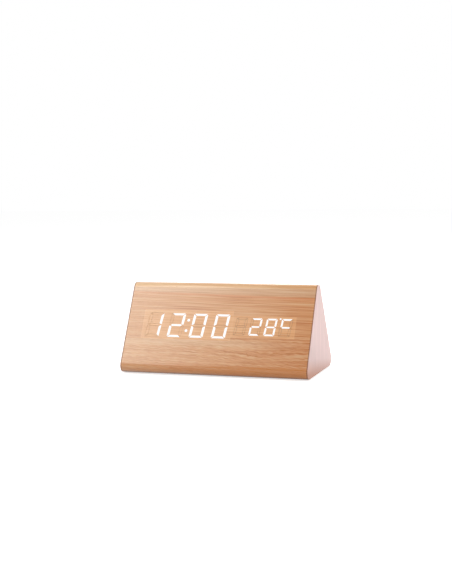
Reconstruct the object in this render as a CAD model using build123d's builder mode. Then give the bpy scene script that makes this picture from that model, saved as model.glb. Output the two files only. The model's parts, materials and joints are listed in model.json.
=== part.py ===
from build123d import *
from dataclasses import dataclass
from math import atan2, cos, hypot, pi, sin, tan
import os

os.makedirs("parts", exist_ok=True)

# A desk clock in the shape of a triangular prism. Fibreboard boards make its case, a
# wood-grain film covers them, and two modules of lit bars shine through the film in front.
# Lengths are in millimetres. The origin is on the table, under the middle of the case.
# X runs along the case, the front face looks to -Y, and Z is up.

# Case
case_length = 150.0
case_depth = 72.0
case_height = 67.2
case_edge_radius = 5.5
film_thickness = 0.4
film_seam_gap = 0.2
board_thickness = 5.0

# Feet: round pads under the four corners
foot_diameter = 8.0
foot_thickness = 0.8
foot_end_inset = 13.0
foot_edge_inset = 8.5

# Cuts run past the surface that they start from by this much
cut_overrun = 1.0

# Digit modules: blocks with one tapered cavity for each bar, filled with a clear resin
display_end_room = 8.1
digit_count = 4
window_clearance = 0.2
module_depth = 8.0
module_wall = 1.2
module_corner_radius = 0.6
module_base_thickness = 0.8
bar_gap = 0.25
bar_end_gap = 0.8
bar_slant_angle = 6.2
bar_taper_angle = 2.5
chip_side = 0.6
chip_height = 0.3

# Module for the time: four digits and a colon. It takes the length that the other one leaves
time_module_height = 23.9
time_module_rise = 0.6
time_row_margin = 0.3
time_digit_margin = 2.05
time_digit_gap = 6.4
time_digit_shift = 0.2
time_bar_width = 1.9
time_post_width = 2.25
time_corner_radius = 1.4
colon_dot_diameter = 2.3
colon_dot_spacing = 8.6

# Module for the temperature: four smaller digits and a degree dot
temp_module_length = 49.6
temp_module_height = 17.3
temp_module_rise = 0.15
temp_row_margin = 1.1
temp_digit_margin = 1.45
temp_digit_gap = 3.15
temp_digit_shift = -0.35
temp_bar_width = 1.5
temp_post_width = 1.7
temp_corner_radius = 1.1
degree_dot_diameter = 1.6
degree_dot_rise = 6.3
degree_dot_shift = 0.55

# Module pins
pin_side = 0.5
pin_clearance = 0.1
pin_pitch = 2.54
pin_tail = 1.2
pin_edge_inset = 1.6
time_pin_count = 8
temp_pin_count = 6

# Display board: carries both modules and the clock's own circuit
circuit_thickness = 1.6
circuit_corner_radius = 1.0
display_board_height = 30.0
display_board_end_gap = 1.3
display_screw_end_inset = 3.2
display_screw_rise = 10.5

# Screws that hold both circuit boards, and their spacers
screw_diameter = 2.5
screw_clearance = 0.05
screw_hole_clearance = 0.2
screw_bite = 3.5
screw_head_diameter = 4.6
screw_head_height = 1.7
screw_head_round = 0.6
spacer_diameter = 5.2
spacer_clearance = 0.15

# What stands on the back of the display board, with places measured from its middle
controller_length = 18.0
controller_width = 7.5
controller_height = 2.4
controller_shift = -20.0
controller_leg_count = 14
controller_leg_pitch = 1.27
controller_leg_width = 0.45
controller_leg_reach = 1.4
controller_leg_height = 0.9
crystal_diameter = 3.0
crystal_length = 8.0
crystal_end_round = 0.6
crystal_shift = -3.0
crystal_rise = 3.0
buzzer_diameter = 12.0
buzzer_height = 5.5
buzzer_edge_round = 0.8
buzzer_port_diameter = 2.0
buzzer_port_depth = 1.5
buzzer_shift = 20.0
cell_holder_wall = 0.9
cell_holder_floor = 0.8
coin_cell_diameter = 12.5
coin_cell_height = 2.0
coin_cell_edge_round = 0.3
coin_cell_end_inset = 16.3
coin_cell_clearance = 0.15
small_part_length = 2.0
small_part_width = 1.25
small_part_height = 0.6
small_part_pitch = 3.6
small_part_column_count = 4
small_part_row_count = 3
small_part_end_inset = 13.3

# Control board: parallel to the back face. It is as long as the row of what it carries,
# from the sensor past the microphone and the buttons to the socket
control_board_height = 14.0
control_board_depth = 11.0
control_row_rise = 25.0
control_board_shift = -5.0
control_screw_end_inset = 3.5
sensor_end_inset = 12.0
microphone_spacing = 11.0
button_row_spacing = 14.0
socket_spacing = 24.0
socket_end_inset = 15.0

# Push buttons in the back face
button_diameter = 5.0
button_clearance = 0.2
button_stand = 0.8
button_edge_round = 0.5
button_flange_diameter = 7.5
button_flange_thickness = 1.0
button_flange_gap = 0.1
button_pitch = 12.0
button_count = 3
button_travel = 0.5
switch_side = 6.0
switch_height = 3.5
plunger_diameter = 3.5
plunger_clearance = 0.1
plunger_seat = 1.8
plunger_end_gap = 0.2

# Socket for the plug of a mains adapter
socket_nose_diameter = 7.8
socket_nose_clearance = 0.35
socket_nose_recess = 1.0
socket_nose_round = 0.4
socket_bore_diameter = 3.7
socket_bore_depth = 8.0
socket_pin_diameter = 1.3
socket_pin_recess = 2.2
socket_pin_clearance = 0.05
socket_pin_tip_round = 0.3
socket_block_length = 10.0
socket_block_width = 9.0
socket_block_gap = 0.1

# Microphone and temperature sensor behind small holes
microphone_diameter = 6.0
microphone_height = 2.7
microphone_edge_round = 0.4
microphone_gap = 0.3
microphone_port_diameter = 1.6
sensor_diameter = 2.4
sensor_length = 2.6
sensor_round = 0.9
sensor_hole_diameter = 3.2
sensor_depth = 1.4
leg_diameter = 0.5
leg_pitch = 1.2

# Capacitor and plugs on the inner side of the boards
capacitor_diameter = 6.3
capacitor_height = 7.7
capacitor_edge_round = 0.5
capacitor_base_side = 6.6
capacitor_base_height = 0.9
plug_length = 12.0
plug_width = 4.6
plug_height = 4.0
plug_wall = 0.7
ribbon_end_inset = 15.0
ribbon_width = 10.0
ribbon_thickness = 0.9
ribbon_run = 5.0
lead_plug_length = 6.0
lead_plug_width = 5.2
lead_plug_height = 4.6
lead_plug_spacing = 18.0

# Battery box: a tray for cells that lie along the case, with a flange set flush in the base
cell_diameter = 10.5
cell_length = 44.5
cell_nub_diameter = 3.8
cell_nub_height = 0.8
cell_edge_round = 0.6
cell_pitch = 11.0
cell_gap = 0.3
tray_wall = 1.2
tray_end_room = 5.2
tray_rib_width = 0.8
tray_rib_height = 3.0
flange_end_rim = 6.75
flange_side_rim = 7.0
flange_thickness = 2.4
flange_corner_radius = 4.0
flange_clearance = 0.2
flange_ledge = 1.5
box_screw_diameter = 2.0
box_screw_length = 5.0
box_screw_head_diameter = 3.8
box_screw_inset = 3.0
tray_clearance = 0.3

# Battery contacts
contact_thickness = 0.4
contact_width = 9.0
contact_height = 8.0
contact_dimple_diameter = 3.0
contact_dimple_height = 0.5
contact_tab_width = 3.0
contact_tab_height = 2.8
contact_tab_clearance = 0.15
spring_wire = 0.6
spring_large_radius = 3.6
spring_small_radius = 2.4
spring_turns_count = 4
spring_gap = 0.1

# Battery door: its tongues hinge in the flange at one end, its latch clips at the other
door_thickness = 1.4
door_clearance = 0.2
door_seat_gap = 0.1
tongue_thickness = 0.7
tongue_rise = 0.5
tongue_reach = 1.2
tongue_width = 6.0
tongue_edge_inset = 9.3
tongue_lip_gap = 0.15
hinge_inset = 0.45
latch_width = 10.0
latch_thickness = 0.8
latch_gap = 1.0
latch_rise = 4.4
latch_offset = 0.4
latch_room = 0.25
hook_reach = 0.8
hook_height = 1.0
hook_gap = 0.1
scoop_radius = 4.0
scoop_depth = 1.2
scoop_taper_angle = 8.0

# Battery leads, and the plug end of their route
lead_diameter = 1.2
lead_tab_drop = 1.0
lead_entry_run = 3.5
lead_pitch = 2.6


# Shapes that follow from the case

base_z = foot_thickness
slope = atan2(case_height - 2 * case_edge_radius, case_depth / 2 - case_edge_radius)
sharp_half_base = case_depth / 2 - case_edge_radius + case_edge_radius / tan(slope / 2)
centre_height = sharp_half_base * tan(slope / 2)
face_middle_y = (case_depth / 2 - case_edge_radius) / 2 + case_edge_radius * sin(slope)
face_middle_z = base_z + case_height / 2 + case_edge_radius * cos(slope)
face_half_flat = hypot(case_height - 2 * case_edge_radius, case_depth / 2 - case_edge_radius) / 2
tube_length = case_length - 2 * film_thickness
wall_depth = film_thickness + board_thickness
interior_length = tube_length - 2 * board_thickness

# Each face plane starts at the middle of its flat, with X along the case and Y up the face
front_face = Plane(
    origin=(0, -face_middle_y, face_middle_z), x_dir=(1, 0, 0), z_dir=(0, -sin(slope), cos(slope))
)
rear_face = Plane(
    origin=(0, face_middle_y, face_middle_z), x_dir=(-1, 0, 0), z_dir=(0, sin(slope), cos(slope))
)


def case_corners(inset):
    """Corners of the sharp triangle that the case's outline is rounded from, set in."""
    half_base = sharp_half_base - inset / tan(slope / 2)
    foot_line = base_z + inset
    return [(-half_base, foot_line), (half_base, foot_line), (0, foot_line + half_base * tan(slope))]


def mitred_board(first, second):
    """One board of the tube, between the mitres at two of the case's corners."""
    with BuildPart() as board:
        with BuildSketch(Plane.YZ) as outside:
            Polygon(*case_corners(film_thickness), align=None)
            fillet(outside.vertices(), radius=case_edge_radius - film_thickness)
        extrude(amount=tube_length / 2, both=True)
        with BuildSketch(Plane.YZ):
            Polygon(*case_corners(wall_depth), align=None)
        extrude(amount=tube_length / 2, both=True, mode=Mode.SUBTRACT)
        with BuildSketch(Plane.YZ):
            corners = case_corners(0)
            Polygon((0, base_z + centre_height), corners[first], corners[second], align=None)
        extrude(amount=tube_length / 2, both=True, mode=Mode.INTERSECT)
    return board.part


def end_sheet(inset, thickness, corner_radius, start):
    """A triangular sheet across the case, from one place along it."""
    with BuildPart() as sheet:
        with BuildSketch(Plane.YZ.offset(start)) as outline:
            Polygon(*case_corners(inset), align=None)
            if corner_radius > 0:
                fillet(outline.vertices(), radius=corner_radius)
        extrude(amount=thickness)
    return sheet.part


# Digit modules


@dataclass(frozen=True)
class DigitRow:
    """A module and the row of slanted digits on it."""

    module_length: float
    module_height: float
    module_middle: float
    module_rise: float
    row_margin: float
    digit_margin: float
    digit_gap: float
    row_middle: float
    bar_width: float
    post_width: float
    corner_radius: float
    pin_count: int

    @property
    def digit_pitch(self):
        return (self.module_length - 2 * self.row_margin) / digit_count

    @property
    def digit_width(self):
        return self.digit_pitch - self.digit_gap

    @property
    def digit_height(self):
        return self.module_height - 2 * self.digit_margin


module_gap = 2 * window_clearance
display_length = interior_length - 2 * display_end_room
time_module_length = display_length - module_gap - temp_module_length
time_module_middle = (time_module_length - display_length) / 2
temp_module_middle = (display_length - temp_module_length) / 2

time_row = DigitRow(
    time_module_length,
    time_module_height,
    time_module_middle,
    time_module_rise,
    time_row_margin,
    time_digit_margin,
    time_digit_gap,
    time_module_middle + time_digit_shift,
    time_bar_width,
    time_post_width,
    time_corner_radius,
    time_pin_count,
)
temp_row = DigitRow(
    temp_module_length,
    temp_module_height,
    temp_module_middle,
    temp_module_rise,
    temp_row_margin,
    temp_digit_margin,
    temp_digit_gap,
    temp_module_middle + temp_digit_shift,
    temp_bar_width,
    temp_post_width,
    temp_corner_radius,
    temp_pin_count,
)

module_front = front_face.offset(-film_thickness)
module_base_front = module_front.offset(module_base_thickness - module_depth)
module_rear = module_front.offset(-module_depth)

# The bars of each digit, from left to right, with the usual letters: a is the top bar,
# b and c stand on the right, d is the bottom bar, e and f stand on the left, g is the middle
all_bars = "abcdefg"
time_lit_bars = ["bc", "abdeg", "abcdef", "abcdef"]
temp_lit_bars = ["", "abdeg", "abcdefg", "afg"]


def dark_bars(lit_bars):
    """The bars that stay dark in each digit."""
    return ["".join(bar for bar in all_bars if bar not in lit) for lit in lit_bars]


def slanted(points):
    """Points of an upright digit, leant over to the right."""
    lean = tan(bar_slant_angle * pi / 180)
    return [(x + y * lean, y) for x, y in points]


def mirrored(points, across_x, across_y):
    """Points turned to the other side or end of the digit."""
    return [(x * across_x, y * across_y) for x, y in points]


def bar_points(row):
    """Corners of the seven bars of an upright digit, about the digit's middle."""
    side = row.digit_width / 2
    top = row.digit_height / 2
    bar = row.bar_width
    post = row.post_width
    mitre_length = hypot(bar, post)
    level_mitre = bar_gap * mitre_length / (2 * bar)
    post_mitre = bar_gap * mitre_length / (2 * post)
    end = bar_end_gap / 2
    tip = side - post / 2 + end * post / bar - 2 * level_mitre
    level = [
        (level_mitre - side, top),
        (side - level_mitre, top),
        (side - post - level_mitre, top - bar),
        (post + level_mitre - side, top - bar),
    ]
    upright = [
        (side, top - post_mitre),
        (side, end),
        (side - post / 2, end),
        (side - post, end + bar / 2),
        (side - post, top - bar - post_mitre),
    ]
    middle = [
        (tip, 0),
        (tip - post / 2, bar / 2),
        (post / 2 - tip, bar / 2),
        (-tip, 0),
        (post / 2 - tip, -bar / 2),
        (tip - post / 2, -bar / 2),
    ]
    return {
        "a": level,
        "b": upright,
        "c": mirrored(upright, 1, -1),
        "d": mirrored(level, 1, -1),
        "e": mirrored(upright, -1, -1),
        "f": mirrored(upright, -1, 1),
        "g": middle,
    }


def digit_face(row, letters):
    """Outlines of some bars of one digit, with the digit's outer corners rounded."""
    side = row.digit_width / 2
    top = row.digit_height / 2
    with BuildSketch() as face:
        for letter in letters:
            Polygon(*slanted(bar_points(row)[letter]), align=None)
        with BuildSketch(mode=Mode.INTERSECT) as outline:
            Polygon(*slanted([(-side, -top), (side, -top), (side, top), (-side, top)]), align=None)
            fillet(outline.vertices(), radius=row.corner_radius)
    return face.sketch


def bar_outlines(row, bars, dots, dot_diameter):
    """Outlines of some bars of a whole row, and of its round dots, on the module's front."""
    with BuildSketch(module_front) as outlines:
        for place, letters in enumerate(bars):
            if letters:
                across = (place - (len(bars) - 1) / 2) * row.digit_pitch
                with Locations((row.row_middle + across, 0)):
                    add(digit_face(row, letters))
        if dots:
            with Locations(*dots):
                Circle(dot_diameter / 2)
    return outlines.sketch


def bar_middles(outlines):
    """Middle of each bar, measured on the module's front."""
    middles = [module_front.to_local_coords(face.center()) for face in outlines.faces()]
    return [(middle.X, middle.Y) for middle in middles]


def light_bars(outlines):
    """The resin bars of a module, each with a pocket at its back for its chip."""
    with BuildPart() as bars:
        extrude(outlines, amount=module_base_thickness - module_depth, taper=bar_taper_angle)
        with BuildSketch(module_base_front):
            with Locations(*bar_middles(outlines)):
                Rectangle(chip_side, chip_side)
        extrude(amount=chip_height, mode=Mode.SUBTRACT)
    return bars.part


def pin_grid(row):
    """Places of a module's pins: a row along its top and one along its bottom."""
    spacing = row.module_height - 2 * pin_edge_inset
    return GridLocations(pin_pitch, spacing, row.pin_count, 2)


def module_block(row, outlines):
    """The opaque block of a module, with its cavities and the recess for its base plate."""
    with BuildPart() as block:
        with BuildSketch(module_front):
            with Locations((row.module_middle, row.module_rise)):
                RectangleRounded(row.module_length, row.module_height, module_corner_radius)
        extrude(amount=-module_depth)
        with BuildSketch(module_rear):
            with Locations((row.module_middle, row.module_rise)):
                Rectangle(row.module_length - 2 * module_wall, row.module_height - 2 * module_wall)
        extrude(amount=module_base_thickness, mode=Mode.SUBTRACT)
        for bars in outlines:
            extrude(
                bars,
                amount=module_base_thickness - module_depth,
                taper=bar_taper_angle,
                mode=Mode.SUBTRACT,
            )
    return block.part


def module_base(row):
    """The plate that carries a module's chips and pins, set in its back."""
    with BuildPart() as base:
        with BuildSketch(module_rear):
            with Locations((row.module_middle, row.module_rise)):
                Rectangle(row.module_length - 2 * module_wall, row.module_height - 2 * module_wall)
                with pin_grid(row):
                    Rectangle(pin_side + pin_clearance, pin_side + pin_clearance, mode=Mode.SUBTRACT)
        extrude(amount=module_base_thickness)
    return base.part


lean_share = tan(bar_slant_angle * pi / 180)
colon_dots = [
    (time_row.row_middle + side * colon_dot_spacing / 2 * lean_share, side * colon_dot_spacing / 2)
    for side in (-1, 1)
]
degree_dots = [
    (
        temp_row.row_middle + temp_row.digit_pitch + degree_dot_shift + degree_dot_rise * lean_share,
        degree_dot_rise,
    )
]

time_lit_outlines = bar_outlines(time_row, time_lit_bars, colon_dots, colon_dot_diameter)
time_dark_outlines = bar_outlines(time_row, dark_bars(time_lit_bars), [], colon_dot_diameter)
temp_lit_outlines = bar_outlines(temp_row, temp_lit_bars, degree_dots, degree_dot_diameter)
temp_dark_outlines = bar_outlines(temp_row, dark_bars(temp_lit_bars), [], degree_dot_diameter)

with BuildPart() as time_bars_lit:
    add(light_bars(time_lit_outlines))

with BuildPart() as time_bars_dark:
    add(light_bars(time_dark_outlines))

with BuildPart() as temp_bars_lit:
    add(light_bars(temp_lit_outlines))

with BuildPart() as temp_bars_dark:
    add(light_bars(temp_dark_outlines))

with BuildPart() as time_module_housing:
    add(module_block(time_row, [time_lit_outlines, time_dark_outlines]))

with BuildPart() as temp_module_housing:
    add(module_block(temp_row, [temp_lit_outlines, temp_dark_outlines]))

with BuildPart() as time_module_base:
    add(module_base(time_row))

with BuildPart() as temp_module_base:
    add(module_base(temp_row))

with BuildPart() as bar_chips:
    for outlines in (time_lit_outlines, time_dark_outlines, temp_lit_outlines, temp_dark_outlines):
        with BuildSketch(module_base_front):
            with Locations(*bar_middles(outlines)):
                Rectangle(chip_side, chip_side)
        extrude(amount=chip_height)

with BuildPart() as module_pins:
    for row in (time_row, temp_row):
        with BuildSketch(module_base_front):
            with Locations((row.module_middle, row.module_rise)):
                with pin_grid(row):
                    Rectangle(pin_side, pin_side)
        extrude(amount=-(module_base_thickness + circuit_thickness + pin_tail))


# Boards of the case

rear_drop = control_row_rise - face_half_flat
button_row_length = (button_count - 1) * button_pitch
control_board_length = (
    sensor_end_inset
    + microphone_spacing
    + button_row_spacing
    + button_row_length
    + socket_spacing
    + socket_end_inset
)
control_board_start = control_board_shift - control_board_length / 2
sensor_shift = control_board_start + sensor_end_inset
microphone_shift = sensor_shift + microphone_spacing
button_start = microphone_shift + button_row_spacing
socket_shift = button_start + button_row_length + socket_spacing
ribbon_shift = control_board_start + ribbon_end_inset
lead_plug_shift = socket_shift - lead_plug_spacing
button_places = [
    (-(button_start + place * button_pitch), rear_drop) for place in range(button_count)
]
socket_place = (-socket_shift, rear_drop)
microphone_place = (-microphone_shift, rear_drop)
sensor_place = (-sensor_shift, rear_drop)


def rear_holes(sensor_hole):
    """The back face's holes for the buttons, socket, microphone and sensor."""
    with BuildSketch(rear_face) as holes:
        with Locations(*button_places):
            Circle(button_diameter / 2 + button_clearance)
        with Locations(socket_place):
            Circle(socket_nose_diameter / 2 + socket_nose_clearance)
        with Locations(microphone_place):
            Circle(microphone_port_diameter / 2)
        with Locations(sensor_place):
            Circle(sensor_hole / 2)
    return holes.sketch


display_board_length = interior_length - 2 * display_board_end_gap
display_screw_places = [
    (side * (display_board_length / 2 - display_screw_end_inset), end * display_screw_rise)
    for side in (-1, 1)
    for end in (-1, 1)
]
control_screw_places = [
    (side * (control_board_length / 2 - control_screw_end_inset) - control_board_shift, rear_drop)
    for side in (-1, 1)
]
screw_radius = screw_diameter / 2

with BuildPart() as front_board:
    add(mitred_board(2, 0))
    for row in (time_row, temp_row):
        with BuildSketch(front_face):
            with Locations((row.module_middle, row.module_rise)):
                Rectangle(
                    row.module_length + 2 * window_clearance,
                    row.module_height + 2 * window_clearance,
                )
        extrude(amount=-wall_depth - cut_overrun, mode=Mode.SUBTRACT)
    with BuildSketch(front_face.offset(-wall_depth)):
        with Locations(*display_screw_places):
            Circle(screw_radius + screw_clearance)
    extrude(amount=screw_bite, mode=Mode.SUBTRACT)

with BuildPart() as rear_board:
    add(mitred_board(1, 2))
    extrude(rear_holes(sensor_hole_diameter), amount=-wall_depth - cut_overrun, mode=Mode.SUBTRACT)
    with BuildSketch(rear_face.offset(-wall_depth)):
        with Locations(*control_screw_places):
            Circle(screw_radius + screw_clearance)
    extrude(amount=screw_bite, mode=Mode.SUBTRACT)


# Battery box sizes, used by the base board too. Cells lie in pairs, as many as the case takes

wall_lean = tan(slope)
tray_lift = door_thickness + 2 * cell_gap + cell_diameter + tray_wall
room_half_width = sharp_half_base - wall_depth / sin(slope) - tray_lift / wall_lean
pair_count = int((room_half_width - tray_wall - tray_clearance) / cell_pitch)
cell_count = 2 * pair_count
cell_room_length = cell_length + tray_end_room
tray_length = cell_room_length + 2 * contact_thickness
tray_width = cell_count * cell_pitch
flange_length = tray_length + 2 * flange_end_rim
flange_width = tray_width + 2 * flange_side_rim
recess_length = tray_length + 2 * flange_ledge
recess_width = tray_width + 2 * flange_ledge
door_length = recess_length - 2 * door_clearance
door_width = recess_width - 2 * door_clearance
tongue_spread = door_width - 2 * tongue_edge_inset
door_top_z = base_z + door_thickness
recess_top_z = door_top_z + door_seat_gap
flange_top_z = base_z + flange_thickness
cell_axis_z = door_top_z + cell_gap + cell_diameter / 2
roof_under_z = cell_axis_z + cell_diameter / 2 + cell_gap
roof_top_z = roof_under_z + tray_wall
cell_rows = [(place - (cell_count - 1) / 2) * cell_pitch for place in range(cell_count)]
box_screw_places = [
    (side * (flange_length / 2 - box_screw_inset), end * (flange_width / 2 - box_screw_inset))
    for side in (-1, 1)
    for end in (-1, 1)
]

# The latch is a strip bent to a U that stands in a notch beside the tray
latch_inner_x = door_length / 2 + latch_offset
latch_outer_x = latch_inner_x + latch_thickness + latch_gap + latch_thickness
latch_top_z = base_z + latch_rise
notch_end_x = latch_outer_x + latch_room
hook_end_x = notch_end_x + hook_reach
hook_under_z = flange_top_z + hook_gap

with BuildPart() as base_board:
    add(mitred_board(0, 1))
    with BuildSketch(Plane.XY.offset(base_z)):
        RectangleRounded(
            flange_length + 2 * flange_clearance,
            flange_width + 2 * flange_clearance,
            flange_corner_radius + flange_clearance,
        )
    extrude(amount=flange_thickness, mode=Mode.SUBTRACT)
    with BuildSketch(Plane.XY.offset(base_z)):
        Rectangle(
            tray_length + 2 * (tray_wall + tray_clearance),
            tray_width + 2 * (tray_wall + tray_clearance),
        )
    extrude(amount=wall_depth + cut_overrun, mode=Mode.SUBTRACT)
    with BuildSketch(Plane.XY.offset(base_z)):
        with Locations(((tray_length / 2 + hook_end_x + tray_clearance) / 2, 0)):
            Rectangle(
                hook_end_x + tray_clearance - tray_length / 2,
                latch_width + 2 * tray_clearance,
            )
    extrude(amount=wall_depth + cut_overrun, mode=Mode.SUBTRACT)
    with BuildSketch(Plane.XY.offset(flange_top_z)):
        with Locations(*box_screw_places):
            Circle(box_screw_diameter / 2 + screw_clearance)
    extrude(amount=box_screw_length - flange_thickness + screw_clearance, mode=Mode.SUBTRACT)

with BuildPart() as wrap_film:
    with BuildSketch(Plane.YZ) as film_outside:
        Polygon(*case_corners(0), align=None)
        fillet(film_outside.vertices(), radius=case_edge_radius)
    extrude(amount=tube_length / 2, both=True)
    with BuildSketch(Plane.YZ) as film_inside:
        Polygon(*case_corners(film_thickness), align=None)
        fillet(film_inside.vertices(), radius=case_edge_radius - film_thickness)
    extrude(amount=tube_length / 2, both=True, mode=Mode.SUBTRACT)
    extrude(rear_holes(sensor_diameter), amount=-film_thickness - cut_overrun, mode=Mode.SUBTRACT)
    with BuildSketch(Plane.XY.offset(base_z)):
        RectangleRounded(
            flange_length + 2 * flange_clearance,
            flange_width + 2 * flange_clearance,
            flange_corner_radius + flange_clearance,
        )
        with Locations((0, case_depth / 2 - case_edge_radius)):
            Rectangle(tube_length, film_seam_gap)
    extrude(amount=film_thickness + film_seam_gap, mode=Mode.SUBTRACT)

with BuildPart() as left_end_board:
    add(end_sheet(wall_depth, board_thickness, 0, -tube_length / 2))

with BuildPart() as right_end_board:
    add(end_sheet(wall_depth, board_thickness, 0, tube_length / 2 - board_thickness))

with BuildPart() as left_end_film:
    add(end_sheet(0, film_thickness, case_edge_radius, -case_length / 2))

with BuildPart() as right_end_film:
    add(end_sheet(0, film_thickness, case_edge_radius, tube_length / 2))

with BuildPart() as feet:
    with BuildSketch(Plane.XY):
        with GridLocations(
            case_length - 2 * foot_end_inset,
            case_depth - 2 * case_edge_radius - 2 * foot_edge_inset,
            2,
            2,
        ):
            Circle(foot_diameter / 2)
    extrude(amount=foot_thickness)


# Circuit boards


def pan_screw(length):
    """A pan head screw that points down, with its head's underside at the origin."""
    with BuildPart() as screw:
        with BuildSketch():
            Circle(screw_head_diameter / 2)
        extrude(amount=screw_head_height)
        fillet(screw.edges().sort_by(Axis.Z)[-1], radius=screw_head_round)
        with BuildSketch():
            Circle(screw_radius)
        extrude(amount=-length)
    return screw.part


def spacer_tubes(plane, places, length):
    """Spacers that stand between a wall and a circuit board, one round each screw."""
    with BuildPart() as spacers:
        with BuildSketch(plane):
            with Locations(*places):
                Circle(spacer_diameter / 2)
                Circle(screw_radius + spacer_clearance, mode=Mode.SUBTRACT)
        extrude(amount=-length)
    return spacers.part


board_front = module_rear
board_back = board_front.offset(-circuit_thickness)
control_front = rear_face.offset(-control_board_depth)
control_back = control_front.offset(-circuit_thickness)


def turned_inward(face_plane):
    """The same plane, with its normal into the case and X along the case as before."""
    return Plane(origin=face_plane.origin, x_dir=face_plane.x_dir, z_dir=-face_plane.z_dir)


display_stack = film_thickness + module_depth - wall_depth
control_stack = control_board_depth - wall_depth

with BuildPart() as display_board:
    with BuildSketch(board_front):
        RectangleRounded(display_board_length, display_board_height, circuit_corner_radius)
        with Locations(*display_screw_places):
            Circle(screw_radius + screw_hole_clearance, mode=Mode.SUBTRACT)
        for row in (time_row, temp_row):
            with Locations((row.module_middle, row.module_rise)):
                with pin_grid(row):
                    Rectangle(pin_side + pin_clearance, pin_side + pin_clearance, mode=Mode.SUBTRACT)
    extrude(amount=-circuit_thickness)

with BuildPart() as display_board_spacers:
    add(spacer_tubes(front_face.offset(-wall_depth), display_screw_places, display_stack))

with BuildPart(turned_inward(board_back)) as display_board_screws:
    with Locations(*[(x, -y) for x, y in display_screw_places]):
        add(pan_screw(circuit_thickness + display_stack + screw_bite - screw_clearance))

with BuildPart() as control_board:
    with BuildSketch(control_front):
        with Locations((-control_board_shift, rear_drop)):
            RectangleRounded(control_board_length, control_board_height, circuit_corner_radius)
        with Locations(*control_screw_places):
            Circle(screw_radius + screw_hole_clearance, mode=Mode.SUBTRACT)
    extrude(amount=-circuit_thickness)

with BuildPart() as control_board_spacers:
    add(spacer_tubes(rear_face.offset(-wall_depth), control_screw_places, control_stack))

with BuildPart(turned_inward(control_back)) as control_board_screws:
    with Locations(*[(x, -y) for x, y in control_screw_places]):
        add(pan_screw(circuit_thickness + control_stack + screw_bite - screw_clearance))


# Parts on the back of the display board

coin_cell_shift = display_board_length / 2 - coin_cell_end_inset
small_part_shift = small_part_end_inset - display_board_length / 2

with BuildPart() as controller_chip:
    with BuildSketch(board_back):
        with Locations((controller_shift, 0)):
            Rectangle(controller_length, controller_width)
    extrude(amount=-controller_height)
    chamfer(controller_chip.edges().group_by(Axis.Y)[-1], length=controller_leg_width)

with BuildPart() as controller_legs:
    with BuildSketch(board_back):
        with Locations((controller_shift, 0)):
            with GridLocations(
                controller_leg_pitch,
                controller_width + controller_leg_reach,
                controller_leg_count,
                2,
            ):
                Rectangle(controller_leg_width, controller_leg_reach)
    extrude(amount=-controller_leg_height)

with BuildPart() as clock_crystal:
    crystal_start = board_back.offset(-crystal_diameter / 2)
    crystal_line = Plane(
        origin=crystal_start.from_local_coords((crystal_shift, crystal_rise, 0)),
        x_dir=front_face.y_dir,
        z_dir=front_face.x_dir,
    )
    with BuildSketch(crystal_line):
        Circle(crystal_diameter / 2)
    extrude(amount=crystal_length)
    fillet(clock_crystal.edges().sort_by(Axis.X)[-1], radius=crystal_end_round)

with BuildPart() as alarm_buzzer:
    with BuildSketch(board_back):
        with Locations((buzzer_shift, 0)):
            Circle(buzzer_diameter / 2)
    extrude(amount=-buzzer_height)
    fillet(alarm_buzzer.edges().sort_by(Axis.Y)[-1], radius=buzzer_edge_round)
    with BuildSketch(board_back.offset(-buzzer_height)):
        with Locations((buzzer_shift, 0)):
            Circle(buzzer_port_diameter / 2)
    extrude(amount=buzzer_port_depth, mode=Mode.SUBTRACT)

with BuildPart() as coin_cell_holder:
    with BuildSketch(board_back):
        with Locations((coin_cell_shift, 0)):
            Circle(coin_cell_diameter / 2 + coin_cell_clearance + cell_holder_wall)
    extrude(amount=-(cell_holder_floor + coin_cell_height))
    with BuildSketch(board_back.offset(-cell_holder_floor)):
        with Locations((coin_cell_shift, 0)):
            Circle(coin_cell_diameter / 2 + coin_cell_clearance)
    extrude(amount=-coin_cell_height - cut_overrun, mode=Mode.SUBTRACT)

with BuildPart() as coin_cell:
    with BuildSketch(board_back.offset(-cell_holder_floor)):
        with Locations((coin_cell_shift, 0)):
            Circle(coin_cell_diameter / 2)
    extrude(amount=-coin_cell_height)
    fillet(coin_cell.edges().sort_by(Axis.Y)[-1], radius=coin_cell_edge_round)

with BuildPart() as small_parts:
    with BuildSketch(board_back):
        with Locations((small_part_shift, 0)):
            with GridLocations(
                small_part_pitch,
                small_part_pitch,
                small_part_column_count,
                small_part_row_count,
            ):
                Rectangle(small_part_length, small_part_width)
    extrude(amount=-small_part_height)


def header_shell(plane, place, length, width, height):
    """A shrouded header that stands on a board and takes a cable's plug."""
    with BuildPart() as shell:
        with BuildSketch(plane):
            with Locations(place):
                Rectangle(length, width)
        extrude(amount=-height)
        with BuildSketch(plane.offset(-height)):
            with Locations(place):
                Rectangle(length - 2 * plug_wall, width - 2 * plug_wall)
        extrude(amount=height - plug_wall, mode=Mode.SUBTRACT)
    return shell.part


display_header_place = (ribbon_shift, 0)
control_header_place = (-ribbon_shift, rear_drop)

with BuildPart() as display_header:
    add(header_shell(board_back, display_header_place, plug_length, plug_width, plug_height))

with BuildPart() as control_header:
    add(header_shell(control_back, control_header_place, plug_length, plug_width, plug_height))


# Parts on the control board

with BuildPart() as switch_housings:
    with BuildSketch(control_front):
        with Locations(*button_places):
            Rectangle(switch_side, switch_side)
    extrude(amount=switch_height)
    with BuildSketch(control_front.offset(switch_height)):
        with Locations(*button_places):
            Circle(plunger_diameter / 2 + plunger_clearance)
    extrude(
        amount=-(plunger_seat + button_travel + plunger_end_gap),
        mode=Mode.SUBTRACT,
    )

flange_front_depth = wall_depth + button_flange_gap
flange_back_depth = flange_front_depth + button_flange_thickness
switch_front_depth = control_board_depth - switch_height


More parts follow.
